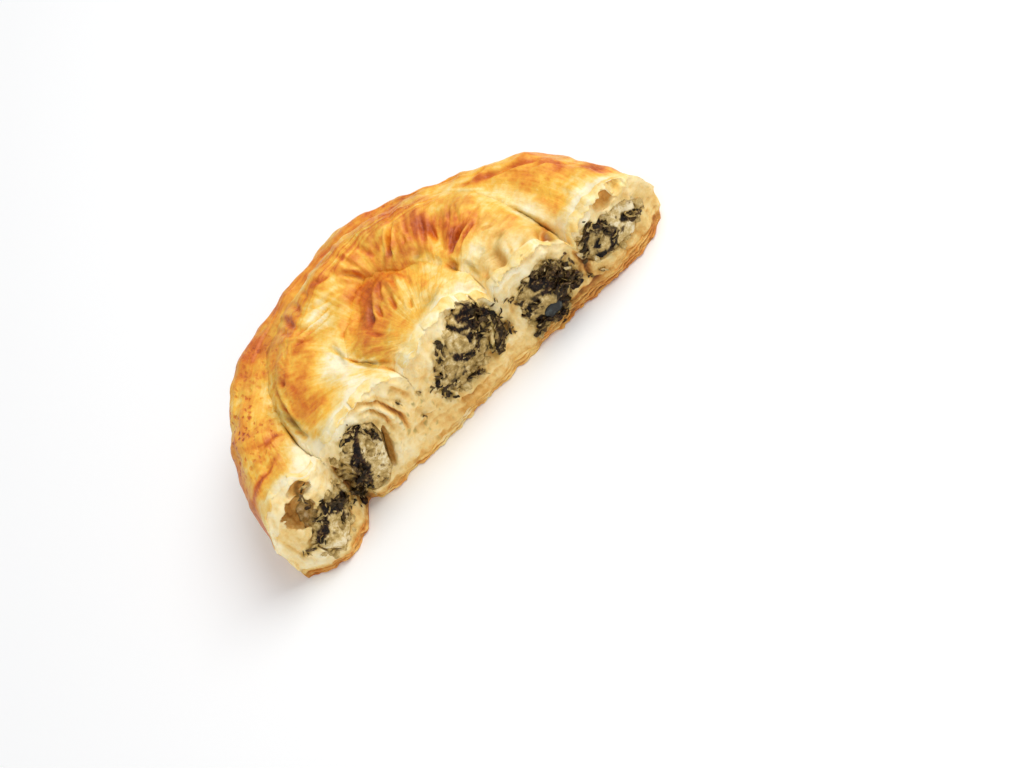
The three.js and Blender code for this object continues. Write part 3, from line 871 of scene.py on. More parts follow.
# The filling, x and z in the torn face.
filling = {
    "voxel": 0.5,  # spacing of the ropes' points
    "crumple": 1.1,  # height of the leaves' folds
    "foldSize": 2.4,
    "fineSize": 1.1,
    "leafStretches": (1.3, 1.8, 2.8),  # length over width
    "leafTones": (-0.04, -0.02, 0, 0.05, 0.1),
    "smoothLeafAt": (31, 7.4),
    "smoothLeafHalf": (2.9, 1.2, 2.3),
    "leaves": [  # the line that they lie along, its width, how many, and how much paler
        ([(-69.5, 9.5), (-64, 11.5), (-60, 13)], 1.3, 5),
        ([(-61, 13.5), (-57, 17), (-54, 15.5), (-50, 12)], 2, 10),
        ([(-59, 21), (-58, 25), (-55, 26)], 0.7, 3),
        ([(-56, 9), (-53, 11)], 0.7, 2),
        ([(-46.4, 3.5), (-44, 8), (-41, 12.5), (-39.6, 18.6)], 2.5, 18),
        ([(-41, 19), (-38, 22), (-35.6, 24.4), (-35, 27.4)], 1.3, 8),
        ([(-39.5, 26.6), (-36, 27.2), (-33, 26.2), (-31.4, 23), (-31, 20)], 1.2, 10),
        ([(-50, 9), (-47, 8)], 1.1, 3),
        ([(0.4, 27.4), (-1.4, 25), (-3.4, 22.6)], 1.2, 6),
        ([(-5.9, 21.6), (-5.5, 22)], 0.5, 1),
        ([(-5.2, 19.6), (-7.6, 16.6), (-8, 13.6), (-7.2, 10.4)], 1.3, 9),
        ([(10, 27), (13.6, 25), (16.2, 21), (16.4, 17), (14.8, 12.8), (11, 10.6)], 2.4, 31),
        ([(5.8, 28), (6.8, 25.4), (9.4, 23.8)], 0.8, 6),
        ([(7.4, 20.8), (10.4, 21), (11.6, 17)], 1.3, 8),
        ([(11, 23.6), (11.4, 20)], 1.4, 4),
        ([(1.2, 20.6), (2.6, 18.2), (4.6, 17.4)], 1.2, 6),
        ([(5.5, 15.8), (7.4, 16.8), (9, 18.4)], 0.9, 5),
        ([(-6.4, 13.4), (-2.2, 14.2)], 0.5, 3, 0.04),
        ([(-0.4, 10.8), (2.6, 9.8), (4.2, 8.8)], 0.8, 4, 0.06),
        ([(33, 19), (37, 20.4), (40.6, 17.6), (41.4, 9.5)], 3, 38),
        ([(34.5, 15), (39, 12)], 3.2, 18),
        ([(23.5, 4), (27, 6.4), (31, 4), (35, 7.2)], 2.2, 18),
        ([(24, 12), (29, 13.5)], 1.1, 4),
        ([(47.6, 14), (49.6, 18), (53, 21), (56.6, 18.6), (58.4, 13.6), (55.6, 10), (50.8, 11)], 1.5, 22),
        ([(52, 14.5), (55, 16)], 1, 3),
        ([(63.4, 13.8), (66, 12.6), (68.6, 10.6)], 1.4, 9),
        ([(18, 11), (18.3, 13.5)], 0.8, 2),
        ([(19.5, 24), (21, 23.2)], 0.5, 1),
        ([(23, 19.6), (24.6, 19)], 0.6, 2),
        ([(27.4, 20.4), (28.8, 21)], 0.7, 2),
        ([(24.4, 16.6), (25.6, 16)], 0.6, 2),
        ([(45, 8), (45.8, 5.5)], 0.6, 2),
        ([(48, 7), (49.5, 6)], 0.4, 1),
        ([(-14, 21), (-13.4, 19)], 0.4, 1),
        ([(-17.5, 13), (-16.8, 11.4)], 0.4, 1),
        ([(-20, 22.6), (-19, 21.8)], 0.35, 1),
    ],
    "pale": [  # custard with more cheese or dough in it: x, z, reach along and across, amount
        (-59, 7, 9, 4.5, 0.18), (4, 24, 4, 4, 0.14), (66, 15, 7, 8, 0.24), (-35, 14, 3.4, 6.5, 0.18),
        (-38, 23, 3, 3, 0.1),
    ],
    "curds": [  # x, z, spread along x and z, how many, their size, and how much paler
        (4, 23, 0.8, 1.6, 2, 5.2, 0.1), (0, 20, 3, 3, 6, 2.4), (1, 13, 5, 2.5, 9, 2.2),
        (-4, 17, 1.5, 3, 3, 2.4, 0.08), (55, 14, 3, 3, 7, 1.8), (32, 11, 5, 2, 6, 1.8),
        (37, 17, 4, 4, 4, 1.2), (-35.5, 18, 1.6, 5, 8, 2.8, 0.05), (-43, 22, 1.5, 3, 3, 2.2),
        (-54, 9, 6, 2.5, 9, 2.4), (-62, 8, 3, 2, 4, 2), (66, 13, 3, 3, 4, 1.6),
    ],
}
# Patches of the crust: x, y, reach along and across, amount, and turn where there is one.
baking = {
    "crustLevel": 0.42,  # how brown it is on the whole, 0 to 1
    "doughLevel": 0.32,
    "edgeWhitening": 0.27,  # how much paler the crust is beside the tear
    # painted shade: how much darker the crust and the torn face are along their creases
    "creaseShade": 0.2,
    "browned": [  # how much browner (or paler) than the crust around it; the patches at (18.7, 18.6) and (-40.1, 31.3) are painted shade in two small pits
        (-71, 12, 2.5, 12, 0.16, -8), (-66.5, 10.8, 5, 1.6, 0.28, 10), (-60, 12, 5, 1.4, 0.26, 12),
        (-54, 20, 4.5, 1.6, 0.25, 10), (-57, 26, 6, 3, 0.1), (-49, 8, 4, 7, -0.42),
        (-48, 18, 2.5, 7, -0.08), (-56, 5, 7, 3, -0.15), (-66, 31, 3, 10, 0.16, -20),
        (-40, 54, 12, 4, 0.2, 28), (-10, 62, 14, 4, 0.2), (22, 58, 12, 4, 0.16, -25),
        (43, 39.5, 5, 1.6, 0.32, -40), (50, 33, 5, 3, 0.18, -40), (49, 26, 4, 5, 0.14, 20),
        (60, 28, 3, 7, 0.2, 25), (61, 20, 2.4, 3.4, 0.2), (67.5, 13, 2, 4, 0.26), (60, 10, 5, 5, -0.22),
        (52, 12, 3, 5, 0.06), (58, 4, 10, 4, -0.4), (46.5, 16, 3.2, 13, -0.28, 6),
        (-39.2, 18, 3, 5.5, 0.2), (-33, 29, 7, 5, 0.1), (-28.7, 36, 5, 2.4, 0.2),
        (-25, 13, 7, 11, -0.34), (-25, 24, 6, 6, -0.3), (-34, 6, 9, 4, -0.26), (-47, 25, 2, 10, -0.06),
        (-42.9, 43.1, 1.2, 1.8, 0.2), (-37.7, 49.1, 1.2, 1.2, 0.2), (-27, 46, 2, 5, 0.16),
        (-27.5, 54, 2.6, 2.6, -0.1), (-22, 51, 4, 3, 0.1), (-36, 43, 5, 6, 0.1, -30),
        (-12, 50, 6, 2.2, 0.26), (-6, 46, 8, 2.6, -0.04), (-19, 40, 8, 4.5, -0.32),
        (-30, 57, 6, 2, -0.18, 25), (17, 52, 4, 5, 0.16), (12, 46, 3, 3, -0.14),
        (9, 39, 3, 1.4, 0.14, 45), (25, 33, 6.5, 5, 0.22), (26, 24.2, 6, 3.2, 0.46, 15),
        (20, 38, 5, 5, 0.18), (36, 36, 3, 5, 0.04), (38, 24, 4, 6, -0.1), (24, 16, 7, 2.6, -0.16),
        # (18.7, 18.6) and (-40.1, 31.3) below: painted shade in two small pits
        (18.7, 18.6, 1.2, 1.6, 0.45), (32, 7, 9, 7, -0.24), (29.6, 7.2, 2.2, 5, 0.62, -8),
        (37, 5, 1.6, 1.6, 0.45), (23.6, 7.6, 1.2, 2.2, 0.4), (26.4, 6, 0.8, 3, 0.4, 12),
        (33.6, 6.4, 0.7, 3.4, 0.35, -16), (-40.1, 31.3, 0.8, 0.8, 0.6), (43, 4, 1.8, 2.6, 0.62),
        (45.4, 10, 1, 3, 0.4), (-8, 28, 3.6, 9, 0.3, -28), (-2, 33, 5, 7, 0.14),
        (-10, 18.4, 1.6, 2.4, 0.12), (5, 20, 7, 4.5, -0.14, 40), (-14, 18, 2.2, 8, 0.04, 18),
        (-6, 12, 6, 5, -0.14), (8, 14, 5, 4, -0.14), (14, 21, 3, 5, -0.18, -20), (0, 3, 12, 5, -0.3),
        (12, 8, 7, 6, -0.22), (-17, 12, 3, 6, -0.1, 20),
    ],
    "bare": [  # where the crust tore off and pale dough shows, with no amount
        (31, 8, 10, 8), (47, 13, 2.6, 12, 6), (-49, 7, 3.4, 6), (-12, 4, 5, 4),
    ],
    "oliveStainAndShade": [  # olive, from the filling below, and olive painted shade: each patch lies in a groove, crease or dent
        (7, 12, 2.6, 2.2, 0.42), (29.2, 7.6, 1.5, 5.4, 0.2, -8), (27.4, 13.8, 1.2, 1.4, 0.4),
        (34, 13.4, 2, 1.4, 0.45), (30.5, 12, 4, 1.4, 0.25, -10), (23.4, 7.6, 1.1, 2, 0.4),
        (22.3, 13, 0.6, 3, 0.4), (18.7, 18.6, 1, 1.5, 0.7), (13.7, 30.5, 1.2, 0.9, 0.5),
        (-22, 24, 0.7, 5, 0.6, -12), (-47.4, 22, 1.5, 10, 0.25, 8), (-18.8, 14, 0.7, 3.4, 0.6, 25),
        (44, 4, 1.2, 4, 0.5), (-45.4, 21, 0.8, 6, 0.6, 10), (44.4, 18, 0.6, 6, 0.5, 10),
    ],
    "toastAndShadePatches": [  # the torn face, x and z: how much more (or less) toasting the dough has; the narrow patch at x -46.5 is painted shade in the notch between the rings
        (-73, 18, 3, 10, -0.28), (-66, 5, 7, 4, -0.26), (40, 3, 22, 3, 0.22), (-18, 14, 8, 10, 0.03),
        # (-46.5, 8) below: painted shade in the notch between the rings
        (70, 14, 5, 8, 0.1), (-55, 6.5, 7, 3.6, 0.16), (-46.5, 8, 1.6, 9, 0.26), (-36, 30, 5, 2, -0.2),
        (-25, 25, 4, 4, -0.12), (-27, 9, 4, 5, -0.12), (-4, 4.6, 11, 3, 0.24), (6, 8.5, 5, 2.5, 0.14),
        (18, 12, 1.3, 2, 0.35), (20, 25, 3, 2, 0.12), (45.5, 13, 2.2, 7, 0.36), (45, 4.5, 5, 2, 0.2),
        (29, 25, 5, 3, -0.12), (54, 24, 5, 2, -0.05), (64, 24, 5, 3, 0.18), (71, 17, 3, 8, -0.04),
        (61, 6, 9, 2, 0.12),
    ],
    "bubbled": [(-60, 32, 12, 16, 1), (20, 60, 9, 9, 0.4), (-40, 50, 9, 9, 0.35)],  # small burst bubbles
    "clean": (-66, 5, 7, 4),  # dough at the left end's foot that the filling didn't reach
    "herbs": (-19, 16, 9, 11.25),  # flecks of leaf in the dough between the rings
}


def leafShade(x, z):  # 1 in the middle of a line of leaves, 0 at its uneven edge
    wander = 0.45 * lumps(x, 0, z, 2.0, 56) + 0.3 * lumps(x, 0, z, 0.9, 57)
    shades = [1.2 - nearLine(x, z, line)[0] / wide + wander for line, wide, *_ in filling["leaves"]]
    return np.clip(np.max(shades, axis=0), 0, 1)


def topBrowningAndShade(x, y, z, angle, radius):  # how brown the crust is, with painted shade along its creases
    top = baking["crustLevel"] + patched(x, y, baking["browned"]) * smooth(z, 12, 20)
    for size, amount, seed in ((19, 0.14, 40), (8, 0.13, 41), (3, 0.08, 42)):
        top += amount * lumps(x, y, z, size, seed)
    # painted shade in each crease, paler on its lips
    for line, deep, wide in topShape["creases"]:
        gap, _, share = nearLine(x, y, line)
        valley = bump(gap, 1.1 * wide) - 0.35 * bump(gap - 2.2 * wide, wide)
        darker = baking["creaseShade"] * min(deep, 1.4) * fadeOut(share, 0.01, 0.5)
        top += darker * valley * smooth(z, 14, 22)
    for ring in ("outer", "inner"):
        top -= 0.06 * ringGroove(angle, radius, ring, 3) * smooth(z, 10, 16)
    onWall = smooth(radius, 64, 70) * (1 - smooth(z, 20, 27))
    return top + 0.10 * onWall - 0.22 * bump(z - 5, 4.5) * onWall


def faceToastingAndShade(x, y, z, tint, behind):  # how much toasting the torn dough has, with painted shade in its creases and deeper places
    face = baking["doughLevel"] + patched(x, z, baking["toastAndShadePatches"])
    face += 0.1 * lumps(x, 0, z, 7, 49) + 0.07 * lumps(x, 0, z, 2.2, 50)
    face -= 0.12 * smooth(z - crestAt(x), -9, -1)
    # painted shade: where the relief sinks deeper into the face, the dough is darker
    face += 0.13 * np.clip(tint, -1.5, 1.5)
    footToast = 0.2 + 0.2 * smooth(np.abs(x + 5), 25, 40)
    face += footToast * (1 - smooth(z + 0.7 * lumps(x, 0, z, 4, 51), 1.4, 3.8))
    # painted shade along the torn face's creases
    for line, deep, wide in faceShape["creases"]:
        gap, _, share = nearLine(x, z, line)
        face += baking["creaseShade"] * deep * bump(gap, 1.1 * wide) * np.sin(math.pi * share)
    inside = inHollow(x, z, 0.8) * smooth(behind, 0.5, 2.5)
    return face + inside * (0.58 + 0.06 * lumps(x, y, z, 3, 52) - face)


def strandPlace(x, z, angle, radius, skin):  # where the fine lines run: along and across the layers
    down = radius + 0.9 * np.maximum(25 - z, 0) * (radius > 62)
    alongRope = np.stack([angle * 55, down, 0 * x], -1)
    acrossRope = np.stack([radius, angle * 34, 0 * x + 40], -1)
    onFace = np.stack([1.5 * x, 1.6 * z, 0 * x + 80], -1)
    outer = radius > along(coil["outerGrooveRadius"], angle / math.pi)
    onCrust = np.where(outer[:, None], alongRope, acrossRope)
    return np.where(skin[:, None] > 0.5, onCrust, onFace)


def paintPastry(mesh):
    normals = normalsOf(mesh)
    skin = smooth(painted(mesh, "skin"), 0.15, 0.85)
    tint = painted(mesh, "tint")
    x, y, z = unplaced(pointsOf(mesh)).T
    angle = np.arctan2(np.maximum(y, 0), x)
    radius = np.hypot(x, y)
    behind = y - tearDepth(x, z)
    whitened = 1 - smooth(behind + 1.5 * lumps(x, y, z, 5, 48), 0.5, 6.0)
    top = topBrowningAndShade(x, y, z, angle, radius) + tint
    top -= baking["edgeWhitening"] * whitened * smooth(z, 15, 25)
    top = np.clip(np.where(top > 0.7, 0.7 + 0.4 * (top - 0.7), top), 0, 1)
    for patch in baking["bare"]:
        whitened = np.maximum(whitened, inPatch(x, y, *patch))
    bare = np.clip(0.85 * whitened, 0, 1) * skin * smooth(z, 13, 22)
    shade = leafShade(x, z)
    face = faceToastingAndShade(x, y, z, tint, behind) + 0.35 * shade
    under = (normals[:, 2] < -0.6) & (z < 0.5)
    base = 0.5 + 0.2 * lumps(x, y, z, 12, 43) + 0.1 * lumps(x, y, z, 3, 44)
    # olive stain, and olive painted shade where the patches lie in grooves, creases and dents
    olive = 0.16 * smooth(lumps(x, y, z, 10, 60), -0.1, 0.5) + patched(x, y, baking["oliveStainAndShade"])
    nearFilling = np.exp(-np.maximum(ropeGap(x, z), 0) / 3.5) * (1 - inPatch(x, z, *baking["clean"]))
    herbs = smooth(lumps(x, 0.7 * y, z, 1.5, 47), 0.42, 0.6) * inPatch(x, z, *baking["herbs"])
    flecks = 0.14 * smooth(lumps(x, y, z, 1.1, 53), 0.35, 0.6)
    oily = nearFilling * (0.17 + 0.22 * lumps(x, y, z, 2.6, 46)) * (1 - smooth(z - crestAt(x), -6, -2))
    olive = olive * skin * smooth(z, 12, 20) + (1 - skin) * (oily + 0.8 * herbs + 0.5 * shade + flecks)
    bubbled = np.clip(0.08 + patched(x, y, baking["bubbled"]), 0, 1)
    # the browning level carries painted shade too, and the olive holds painted shade besides the stain
    paint(
        mesh,
        browned=np.clip(np.where(under, base, skin * top + (1 - skin) * face), 0, 1),
        crumb=np.clip(np.where(under, 0, np.maximum(1 - skin, bare)), 0, 1),
        olive=np.clip(olive, 0, 1),
        bubbled=bubbled * skin * smooth(z, 8, 16),
        strand=strandPlace(x, z, angle, radius, skin),
    )


paintPastry(pastry.data)
finished(pastry, "filo_pastry", filo, "pastry")


def fillingRope(name):
    solid = meshFrom(mergedCopy(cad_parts[name].data), name)
    piece = objectFrom(solid, name.replace("filling", "spinach_rope"))
    remesh = piece.modifiers.new("remesh", "REMESH")
    remesh.mode = "VOXEL"
    remesh.voxel_size = filling["voxel"] * mm
    settled(piece)
    points = unplaced(pointsOf(piece.data))
    x, y, z = points.T
    dark = leafShade(x, z)
    folded = ridges(x, y, z, filling["foldSize"], 50) ** 2 - 0.5
    fine = ridges(x, y, z, filling["fineSize"], 51) - 0.5
    curdled = 0.6 * lumps(x, y, z, 3, 54) + 0.2 * lumps(x, y, z, 1.2, 55)
    lift = dark * (filling["crumple"] * folded + 0.4 * fine) + (1 - dark) * curdled
    front = 1 - smooth(y - tearDepth(x, z), 1.5, 4)
    lift = np.where(front > 0.01, lift * front, 0) - 0.1
    points += lift[:, None] * normalsOf(piece.data)
    setPoints(piece.data, placed(points))
    cutAway(piece, hollowCutters)
    x, y, z = unplaced(pointsOf(piece.data)).T
    pale = patched(x, z, filling["pale"])
    flecks = lumps(x, y, z, 1.5, 58) + 0.4 * lumps(x, y, z, 4, 59) - 1.2 * pale
    dark = np.maximum(smooth(leafShade(x, z), 0.12, 0.4), 0.85 * smooth(flecks, 0.34, 0.55))
    dark = np.where(y - tearDepth(x, z) > 6, smooth(lumps(x, y, z, 3.4, 52), -0.3, 0.1), dark)
    hollow = inHollow(x, z, 0.8)
    dark = dark * (1 - hollow)
    tone = 0.12 * lumps(x, y, z, 3, 62) + 0.02 * hollow + (0.03 + pale) * (1 - dark)
    paint(piece.data, custard=1 - dark, tone=tone)
    return finished(piece, "spinach_filling", spinach, name)


for name in ropeNames:
    fillingRope(name)
for cutter in ropeCutters + hollowCutters:
    bpy.data.objects.remove(cutter)
print("filling ropes made")

leafDraw = np.random.default_rng(23)


def addBlob(bm, shape, at, out, custard, tone, rounds=3):  # a small solid in the torn face, in mm
    made = bmesh.ops.create_icosphere(bm, subdivisions=rounds, radius=1)["verts"]
    creamy, toned = (bm.verts.layers.float[name] for name in ("custard", "tone"))
    points = shape(np.array([v.co for v in made]))
    points += (at[0], tearDepth(*at) - out, at[1])
    points[:, 2] = np.maximum(points[:, 2], 0.2)
    for vert, point in zip(made, placed(points)):
        vert.co = point
        vert[creamy] = custard
        vert[toned] = tone


def leafShape(length, width, heading):  # a crumpled leaf, about flat in the torn face
    seed = int(leafDraw.integers(1000))
    curl, cup = leafDraw.uniform(-0.5, 0.5), leafDraw.uniform(0.1, 0.6)
    tip, roll = leafDraw.uniform(-0.8, 0.8), leafDraw.uniform(-0.5, 0.5)
    turns = ((math.pi / 2, "X"), (tip, "X"), (roll, "Y"), (heading, "Z"))
    upright, tipped, rolled, headed = (Matrix.Rotation(angle, 3, axis) for angle, axis in turns)
    whole = np.array(upright @ (tipped @ rolled) @ headed)

    def shape(p):
        u, v, w = p.T
        edge = 1 + 0.28 * lumps(u, v, 0, 0.9, seed) + 0.1 * lumps(u, v, 0, 0.3, seed + 3)
        x, y = 0.5 * length * u * edge, 0.5 * width * v * edge
        y = y + 0.35 * width * lumps(x, 0, 0, 1.6, seed + 4)
        bend = 0.7 * lumps(0.4 * x, y, 0, 1.5, seed + 1) + 0.35 * lumps(0.5 * x, y, 0, 0.7, seed + 2)
        z = 0.24 * w + bend + curl * (2 * x / length) ** 2 + cup * np.abs(y)
        return np.stack([x, y, z], -1) @ whole.T

    return shape


def curdShape(size):
    seed = int(leafDraw.integers(1000))
    stretch = leafDraw.uniform(0.6, 1.2, 3)

    def shape(p):
        uneven = 1 + 0.35 * lumps(*p.T, 0.8, seed) + 0.15 * lumps(*p.T, 0.35, seed + 1)
        return p * (0.5 * size * stretch) * uneven[:, None]

    return shape


def blobPiece(name, addAll, material):
    bm = bmesh.new()
    for layer in ("custard", "tone"):
        bm.verts.layers.float.new(layer)
    addAll(bm)
    bmesh.ops.recalc_face_normals(bm, faces=bm.faces)
    return finished(objectFrom(meshFrom(bm, name), name), "spinach_filling", material)


def leafPlace(line, share, spread):  # a place near a line of leaves and the line's direction there
    points = np.array(line, float)
    run = np.linspace(0, 1, len(points))

    def pointAt(s):
        return np.array([np.interp(s, run, points[:, k]) for k in (0, 1)])

    here = pointAt(share)
    ahead = pointAt(share + 0.1) if share <= 0.9 else 2 * here - pointAt(share - 0.1)
    heading = math.atan2(ahead[1] - here[1], ahead[0] - here[0])
    at = here + leafDraw.normal(size=2) * min(spread, 1.5)
    at[1] = min(at[1], crestAt(at[0]) - 1.6)
    return at.tolist(), heading


def addLeaves(bm):
    for line, wide, count, *pale in filling["leaves"]:
        for i in range(count):
            at, heading = leafPlace(line, (i + leafDraw.uniform(0.1, 0.9)) / count, 0.3 * wide)
            size = wide * leafDraw.uniform(0.7, 1.2) + 0.8
            stretch = leafDraw.choice(filling["leafStretches"])
            heading += leafDraw.normal() * 0.6
            shape = leafShape(size * stretch**0.6, size * stretch**-0.4, heading)
            tone = sum(pale) + leafDraw.choice(filling["leafTones"]) + leafDraw.normal() * 0.02
            out, custard = leafDraw.uniform(-0.3, 0.6), leafDraw.uniform(0, 0.12)
            addBlob(bm, shape, at, out, custard, tone, 4 if wide > 2.3 else 3)


def addSmoothLeaf(bm):  # one larger leaf that shows its smooth back
    def shape(p):
        uneven = 1 + 0.2 * lumps(*p.T, 0.9, 71) + 0.06 * lumps(*p.T, 0.4, 72)
        return p * filling["smoothLeafHalf"] * uneven[:, None]

    addBlob(bm, shape, filling["smoothLeafAt"], 0.3, 0, 0, 4)


def addShreds(bm):  # narrow strips of leaf and custard that run through the leaves and thin out round them
    for line, wide, count, *_ in filling["leaves"]:
        for i in range(int(1.8 * count)):
            creamy = i % 3 == 0
            at, heading = leafPlace(line, leafDraw.uniform(0, 1), (0.4 if creamy else 0.65) * wide)
            heading += leafDraw.normal() * 0.7
            length, width = leafDraw.uniform(1.3, 3.8), leafDraw.uniform(0.4, 0.9)
            shape = leafShape(length, width, heading)
            tone = 0.02 + leafDraw.normal() * 0.05
            out = leafDraw.uniform(0.3, 1.0) if creamy else leafDraw.uniform(-0.2, 0.5)
            addBlob(bm, shape, at, out, 0.9 if creamy else leafDraw.uniform(0, 0.3), tone)


def addCurds(bm):
    for px, pz, a, b, count, size, *pale in filling["curds"]:
        for _ in range(count):
            turn, far = leafDraw.uniform(0, math.tau), leafDraw.uniform(0, 1) ** 0.5
            at = (px + a * far * math.cos(turn), pz + b * far * math.sin(turn))
            across = size * leafDraw.uniform(0.7, 1.15)
            tone = sum(pale) + leafDraw.normal() * 0.04
            addBlob(bm, curdShape(across), at, leafDraw.uniform(-0.5, 0.2), 0.95, tone)
    for px, pz, a, b, lean in faceShape["ropeEnds"]:  # custard that spilled over each channel's edge
        for turn in np.arange(0, math.tau, 0.3):
            turn = turn + leafDraw.uniform(-0.1, 0.1)
            u, v = turned(a * math.cos(turn), b * math.sin(turn), -lean)
            at = [value + leafDraw.uniform(-0.6, 0.6) for value in (px + u, pz + v)]
            across = leafDraw.uniform(1.6, 3.2)
            if at[1] <= crestAt(at[0]) - 3 and inHollow(*at, 1.5) < 0.1:
                tone = 0.06 + leafDraw.normal() * 0.04
                addBlob(bm, curdShape(across), at, leafDraw.uniform(-0.9, -0.3), 1, tone)


blobPiece("spinach_leaves", addLeaves, spinach)
blobPiece("spinach_shreds", addShreds, spinach)
blobPiece("cheese_curds", addCurds, spinach)
blobPiece("smooth_leaf", addSmoothLeaf, smoothLeaf)
print("leaves and curds made")

tornFilo = {
    "thickness": 0.3,
    "step": 0.35,  # between the points along a sheet's edge
    "sheets": [  # left end, right end, height and how far it sticks out of the face's foot
        (-33, 20, 0.35, 1), (-30, 22, 1.2, 0.8), (-14, 21, 2.1, 0.6), (18, 71, 0.35, 1),
        (19, 70, 1.2, 0.9), (20, 68, 2.1, 0.8), (21, 64, 3, 0.6), (-74, -47, 0.35, 0.9),
        (-73, -49, 1.2, 0.8), (-70, -50, 2.1, 0.6), (-44, -30, 0.5, 0.9), (-43, -31, 1.4, 0.7),
    ],
    "flaps": [  # left end, right end, how far it hangs over the torn edge and how much it curls up
        (-72, -63, 1.4, 0.3), (-57, -49, 1.2, -0.4), (-43, -31, 1.6, 0.2), (-30, -16, 1.2, 0.5),
        (-12, 2, 1.3, -0.3), (0, 12, 1.6, 0.4), (13, 25, 1.4, 0.2), (24, 35, 2, 0.9),
        (33, 43, 1.8, 0.4), (46, 57, 1.8, 0.3), (55, 66, 2.2, 0.9), (64, 72, 1.6, 0.4),
    ],
}


def sheetGrid(bm, start, end, outSteps):  # a grid's vertices, their x and share out, and its ends' fade
    longSteps = int((end - start) / tornFilo["step"])
    made = bmesh.ops.create_grid(bm, x_segments=longSteps, y_segments=outSteps, size=1)["verts"]
    share, outward, _ = (np.array([v.co for v in made]).T + 1) / 2
    ends = smooth(share, 0, 0.1) * (1 - smooth(share, 0.9, 1))
    return made, start + (end - start) * share, outward, ends


def moveTo(verts, x, y, z):
    for vert, point in zip(verts, placed(np.stack([x, y, z], -1))):
        vert.co = point


def tornSheet(bm, i, start, end, high, out):
    made, x, outward, ends = sheetGrid(bm, start, end, 7)
    z = high + 0.4 * lumps(x, i, 0, 5, 70 + i) + 0.2 * lumps(x, outward, 0, 1.5, 80 + i)
    ragged = out * (0.6 + 0.9 * lumps(x, i, 3, 3.5, 90 + i) + 0.5 * lumps(x, i, 5, 1.1, 95 + i))
    front = tearDepth(x, z) - np.maximum(ragged, -0.6) * ends
    back = tearDepth(x, z) + 3
    lifted = np.maximum(z + 0.3 * outward * lumps(x, 0, 9, 4, 99 + i), 0.02)
    moveTo(made, x, back + (front - back) * outward, lifted)


def edgeFlap(bm, i, start, end, out, rise):
    made, x, outward, ends = sheetGrid(bm, start, end, 10)
    edge = np.interp(x, crestX, crestY) + 0.8
    ragged = 0.55 + 0.8 * lumps(x, i, 3, 3.0, 100 + i) + 0.5 * lumps(x, i, 5, 1.1, 105 + i)
    front = out * np.maximum(ragged, -0.5) * ends
    y = edge + 2.7 - (3.5 + front) * outward
    z = crestAt(x)
    above = placed(np.stack([x, np.maximum(y, edge), 0 * x + 60], -1))
    for k, place in enumerate(above):
        hit = crustTree.ray_cast(Vector(place), Vector((0, 0, -1)))
        z[k] = hit[0].z / mm if hit[0] is not None else z[k]
    over = np.clip(edge - y, 0, None)
    z = z + 0.12 * smooth(outward, 0, 0.2) - 0.5 * (1 - smooth(outward, 0, 0.12))
    z = z + rise * smooth(outward, 0.3, 1) * (0.5 + lumps(x, i, 8, 3, 110 + i)) - 0.22 * over**2
    moveTo(made, x, y, z)


def thinSheets(name, rows, addSheet, tint, crumb):
    bm = bmesh.new()
    for i, row in enumerate(rows):
        addSheet(bm, i, *row)
    piece = objectFrom(meshFrom(bm, name), name)
    thick = piece.modifiers.new("thick", "SOLIDIFY")
    thick.thickness = tornFilo["thickness"] * mm
    thick.offset = 1
    settled(piece)
    bm = bmesh.new()
    bm.from_mesh(piece.data)
    bmesh.ops.recalc_face_normals(bm, faces=bm.faces)
    lowest = min(v.co.z for v in bm.verts)
    bmesh.ops.translate(bm, verts=bm.verts, vec=(0, 0, max(0, -lowest)))
    bm.to_mesh(piece.data)
    bm.free()
    x, y, z = unplaced(pointsOf(piece.data)).T
    strand = np.stack([x, z * 3, 0 * x], -1)
    paint(piece.data, browned=np.clip(tint(x, y, z), 0, 1), crumb=crumb, olive=0, bubbled=0, strand=strand)
    return finished(piece, "filo_pastry", filo)


def sheetTint(x, y, z):
    return 0.4 + 0.25 * lumps(x, y, z, 3, 71) - 0.05 * z + 0.22 * smooth(np.abs(x + 14), 28, 42)


def flapTint(x, y, z):
    return 0.18 + 0.18 * lumps(x, y, z, 4, 72) + 0.004 * np.maximum(np.abs(x) - 50, 0)


crustTree = treeOf(pastry.data)
thinSheets("torn_filo_sheets", tornFilo["sheets"], tornSheet, sheetTint, 0.55)
thinSheets("torn_filo_flaps", tornFilo["flaps"], edgeFlap, flapTint, 0.35)
print("torn sheets made")

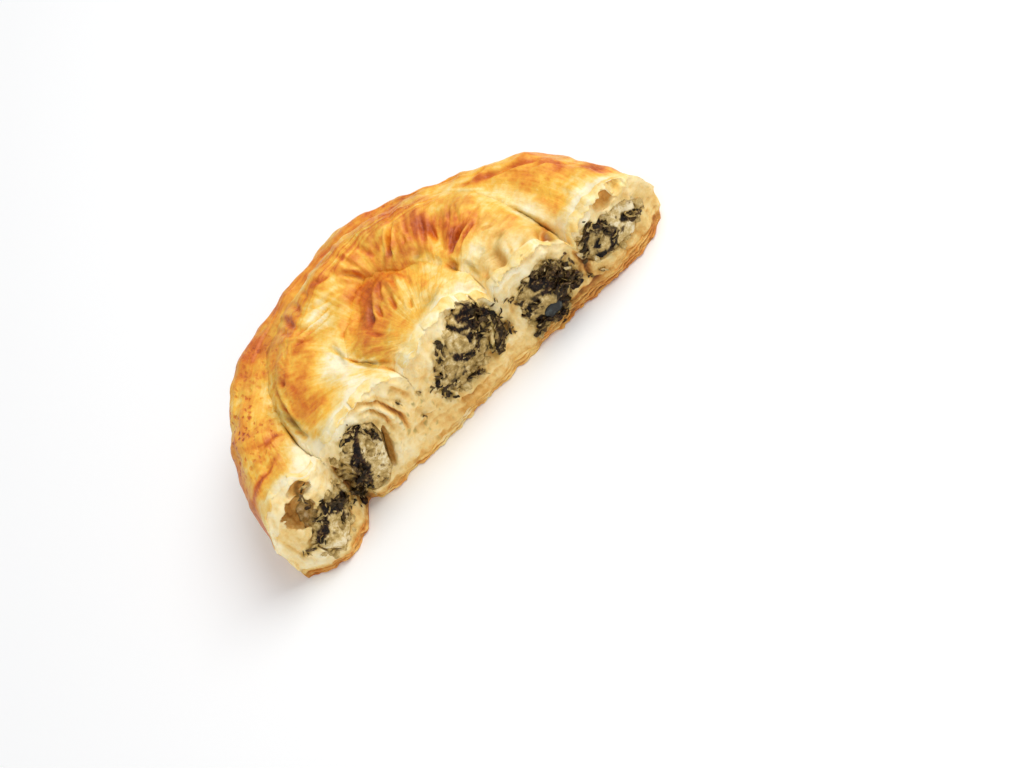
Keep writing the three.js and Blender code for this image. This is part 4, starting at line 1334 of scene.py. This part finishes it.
studio = {
    "floor": "#FEFEFE",
    "floorSize": 3.0,
    "key": {"from": (0.604, 0.031, 0.798), "power": 5.6, "size": 0.7, "far": 0.9, "tint": (1, 0.995, 0.985)},
    "fill": {"from": (-0.35, -0.85, 0.4), "power": 1.7, "size": 0.9, "far": 1.0, "tint": (0.99, 0.995, 1)},
    "world": 0.56,
    "worldTint": (0.975, 0.985, 1, 1),
}


# White paper: matte, so it takes soft shadows and shows no glare.
def studioFloor():
    bm = bmesh.new()
    bmesh.ops.create_grid(bm, x_segments=2, y_segments=2, size=studio["floorSize"])
    floor = objectFrom(meshFrom(bm, "floor"), "floor")
    material, tree, shader = newMaterial("whitePaper")
    plug(tree, shader, {"Base Color": linear(studio["floor"]), "Roughness": 0.8})
    floor.data.materials.append(material)


def softbox(name):
    box = studio[name]
    lamp = bpy.data.lights.new(name, "AREA")
    lamp.shape = "DISK"
    lamp.size = box["size"]
    lamp.energy = box["power"]
    lamp.color = box["tint"]
    holder = objectFrom(lamp, name)
    direction = Vector(box["from"]).normalized()
    holder.location = direction * box["far"]
    holder.rotation_mode = "QUATERNION"
    holder.rotation_quaternion = direction.to_track_quat("Z", "Y")


def studioWorld():
    world = bpy.data.worlds.new("whiteRoom")
    world.use_nodes = True
    background = world.node_tree.nodes["Background"]
    plug(world.node_tree, background, {"Color": studio["worldTint"], "Strength": studio["world"]})
    bpy.context.scene.world = world


eye = {
    "elevation": 42,
    "roll": 44.7,
    "distance": 0.75,
    "target": (0, 0, 0.015),
    "lens": 89.1,
    "shift": (0.1035, -0.0693),
}


def studioCamera():
    camera = bpy.data.cameras.new("camera")
    holder = objectFrom(camera, "camera")
    elevation, roll = (math.radians(eye[k]) for k in ("elevation", "roll"))
    back = Vector((0, -math.cos(elevation), math.sin(elevation)))
    level = Vector((1, 0, 0))
    rise = back.cross(level)
    right = level * math.cos(roll) - rise * math.sin(roll)
    up = level * math.sin(roll) + rise * math.cos(roll)
    facing = Matrix((right, up, back)).transposed().to_4x4()
    holder.matrix_world = Matrix.Translation(Vector(eye["target"]) + back * eye["distance"]) @ facing
    camera.lens = eye["lens"]
    camera.shift_x, camera.shift_y = eye["shift"]
    camera.clip_start = 0.01
    bpy.context.scene.camera = holder


studioFloor()
softbox("key")
softbox("fill")
studioWorld()
studioCamera()
bpy.context.scene.view_settings.view_transform = "Standard"
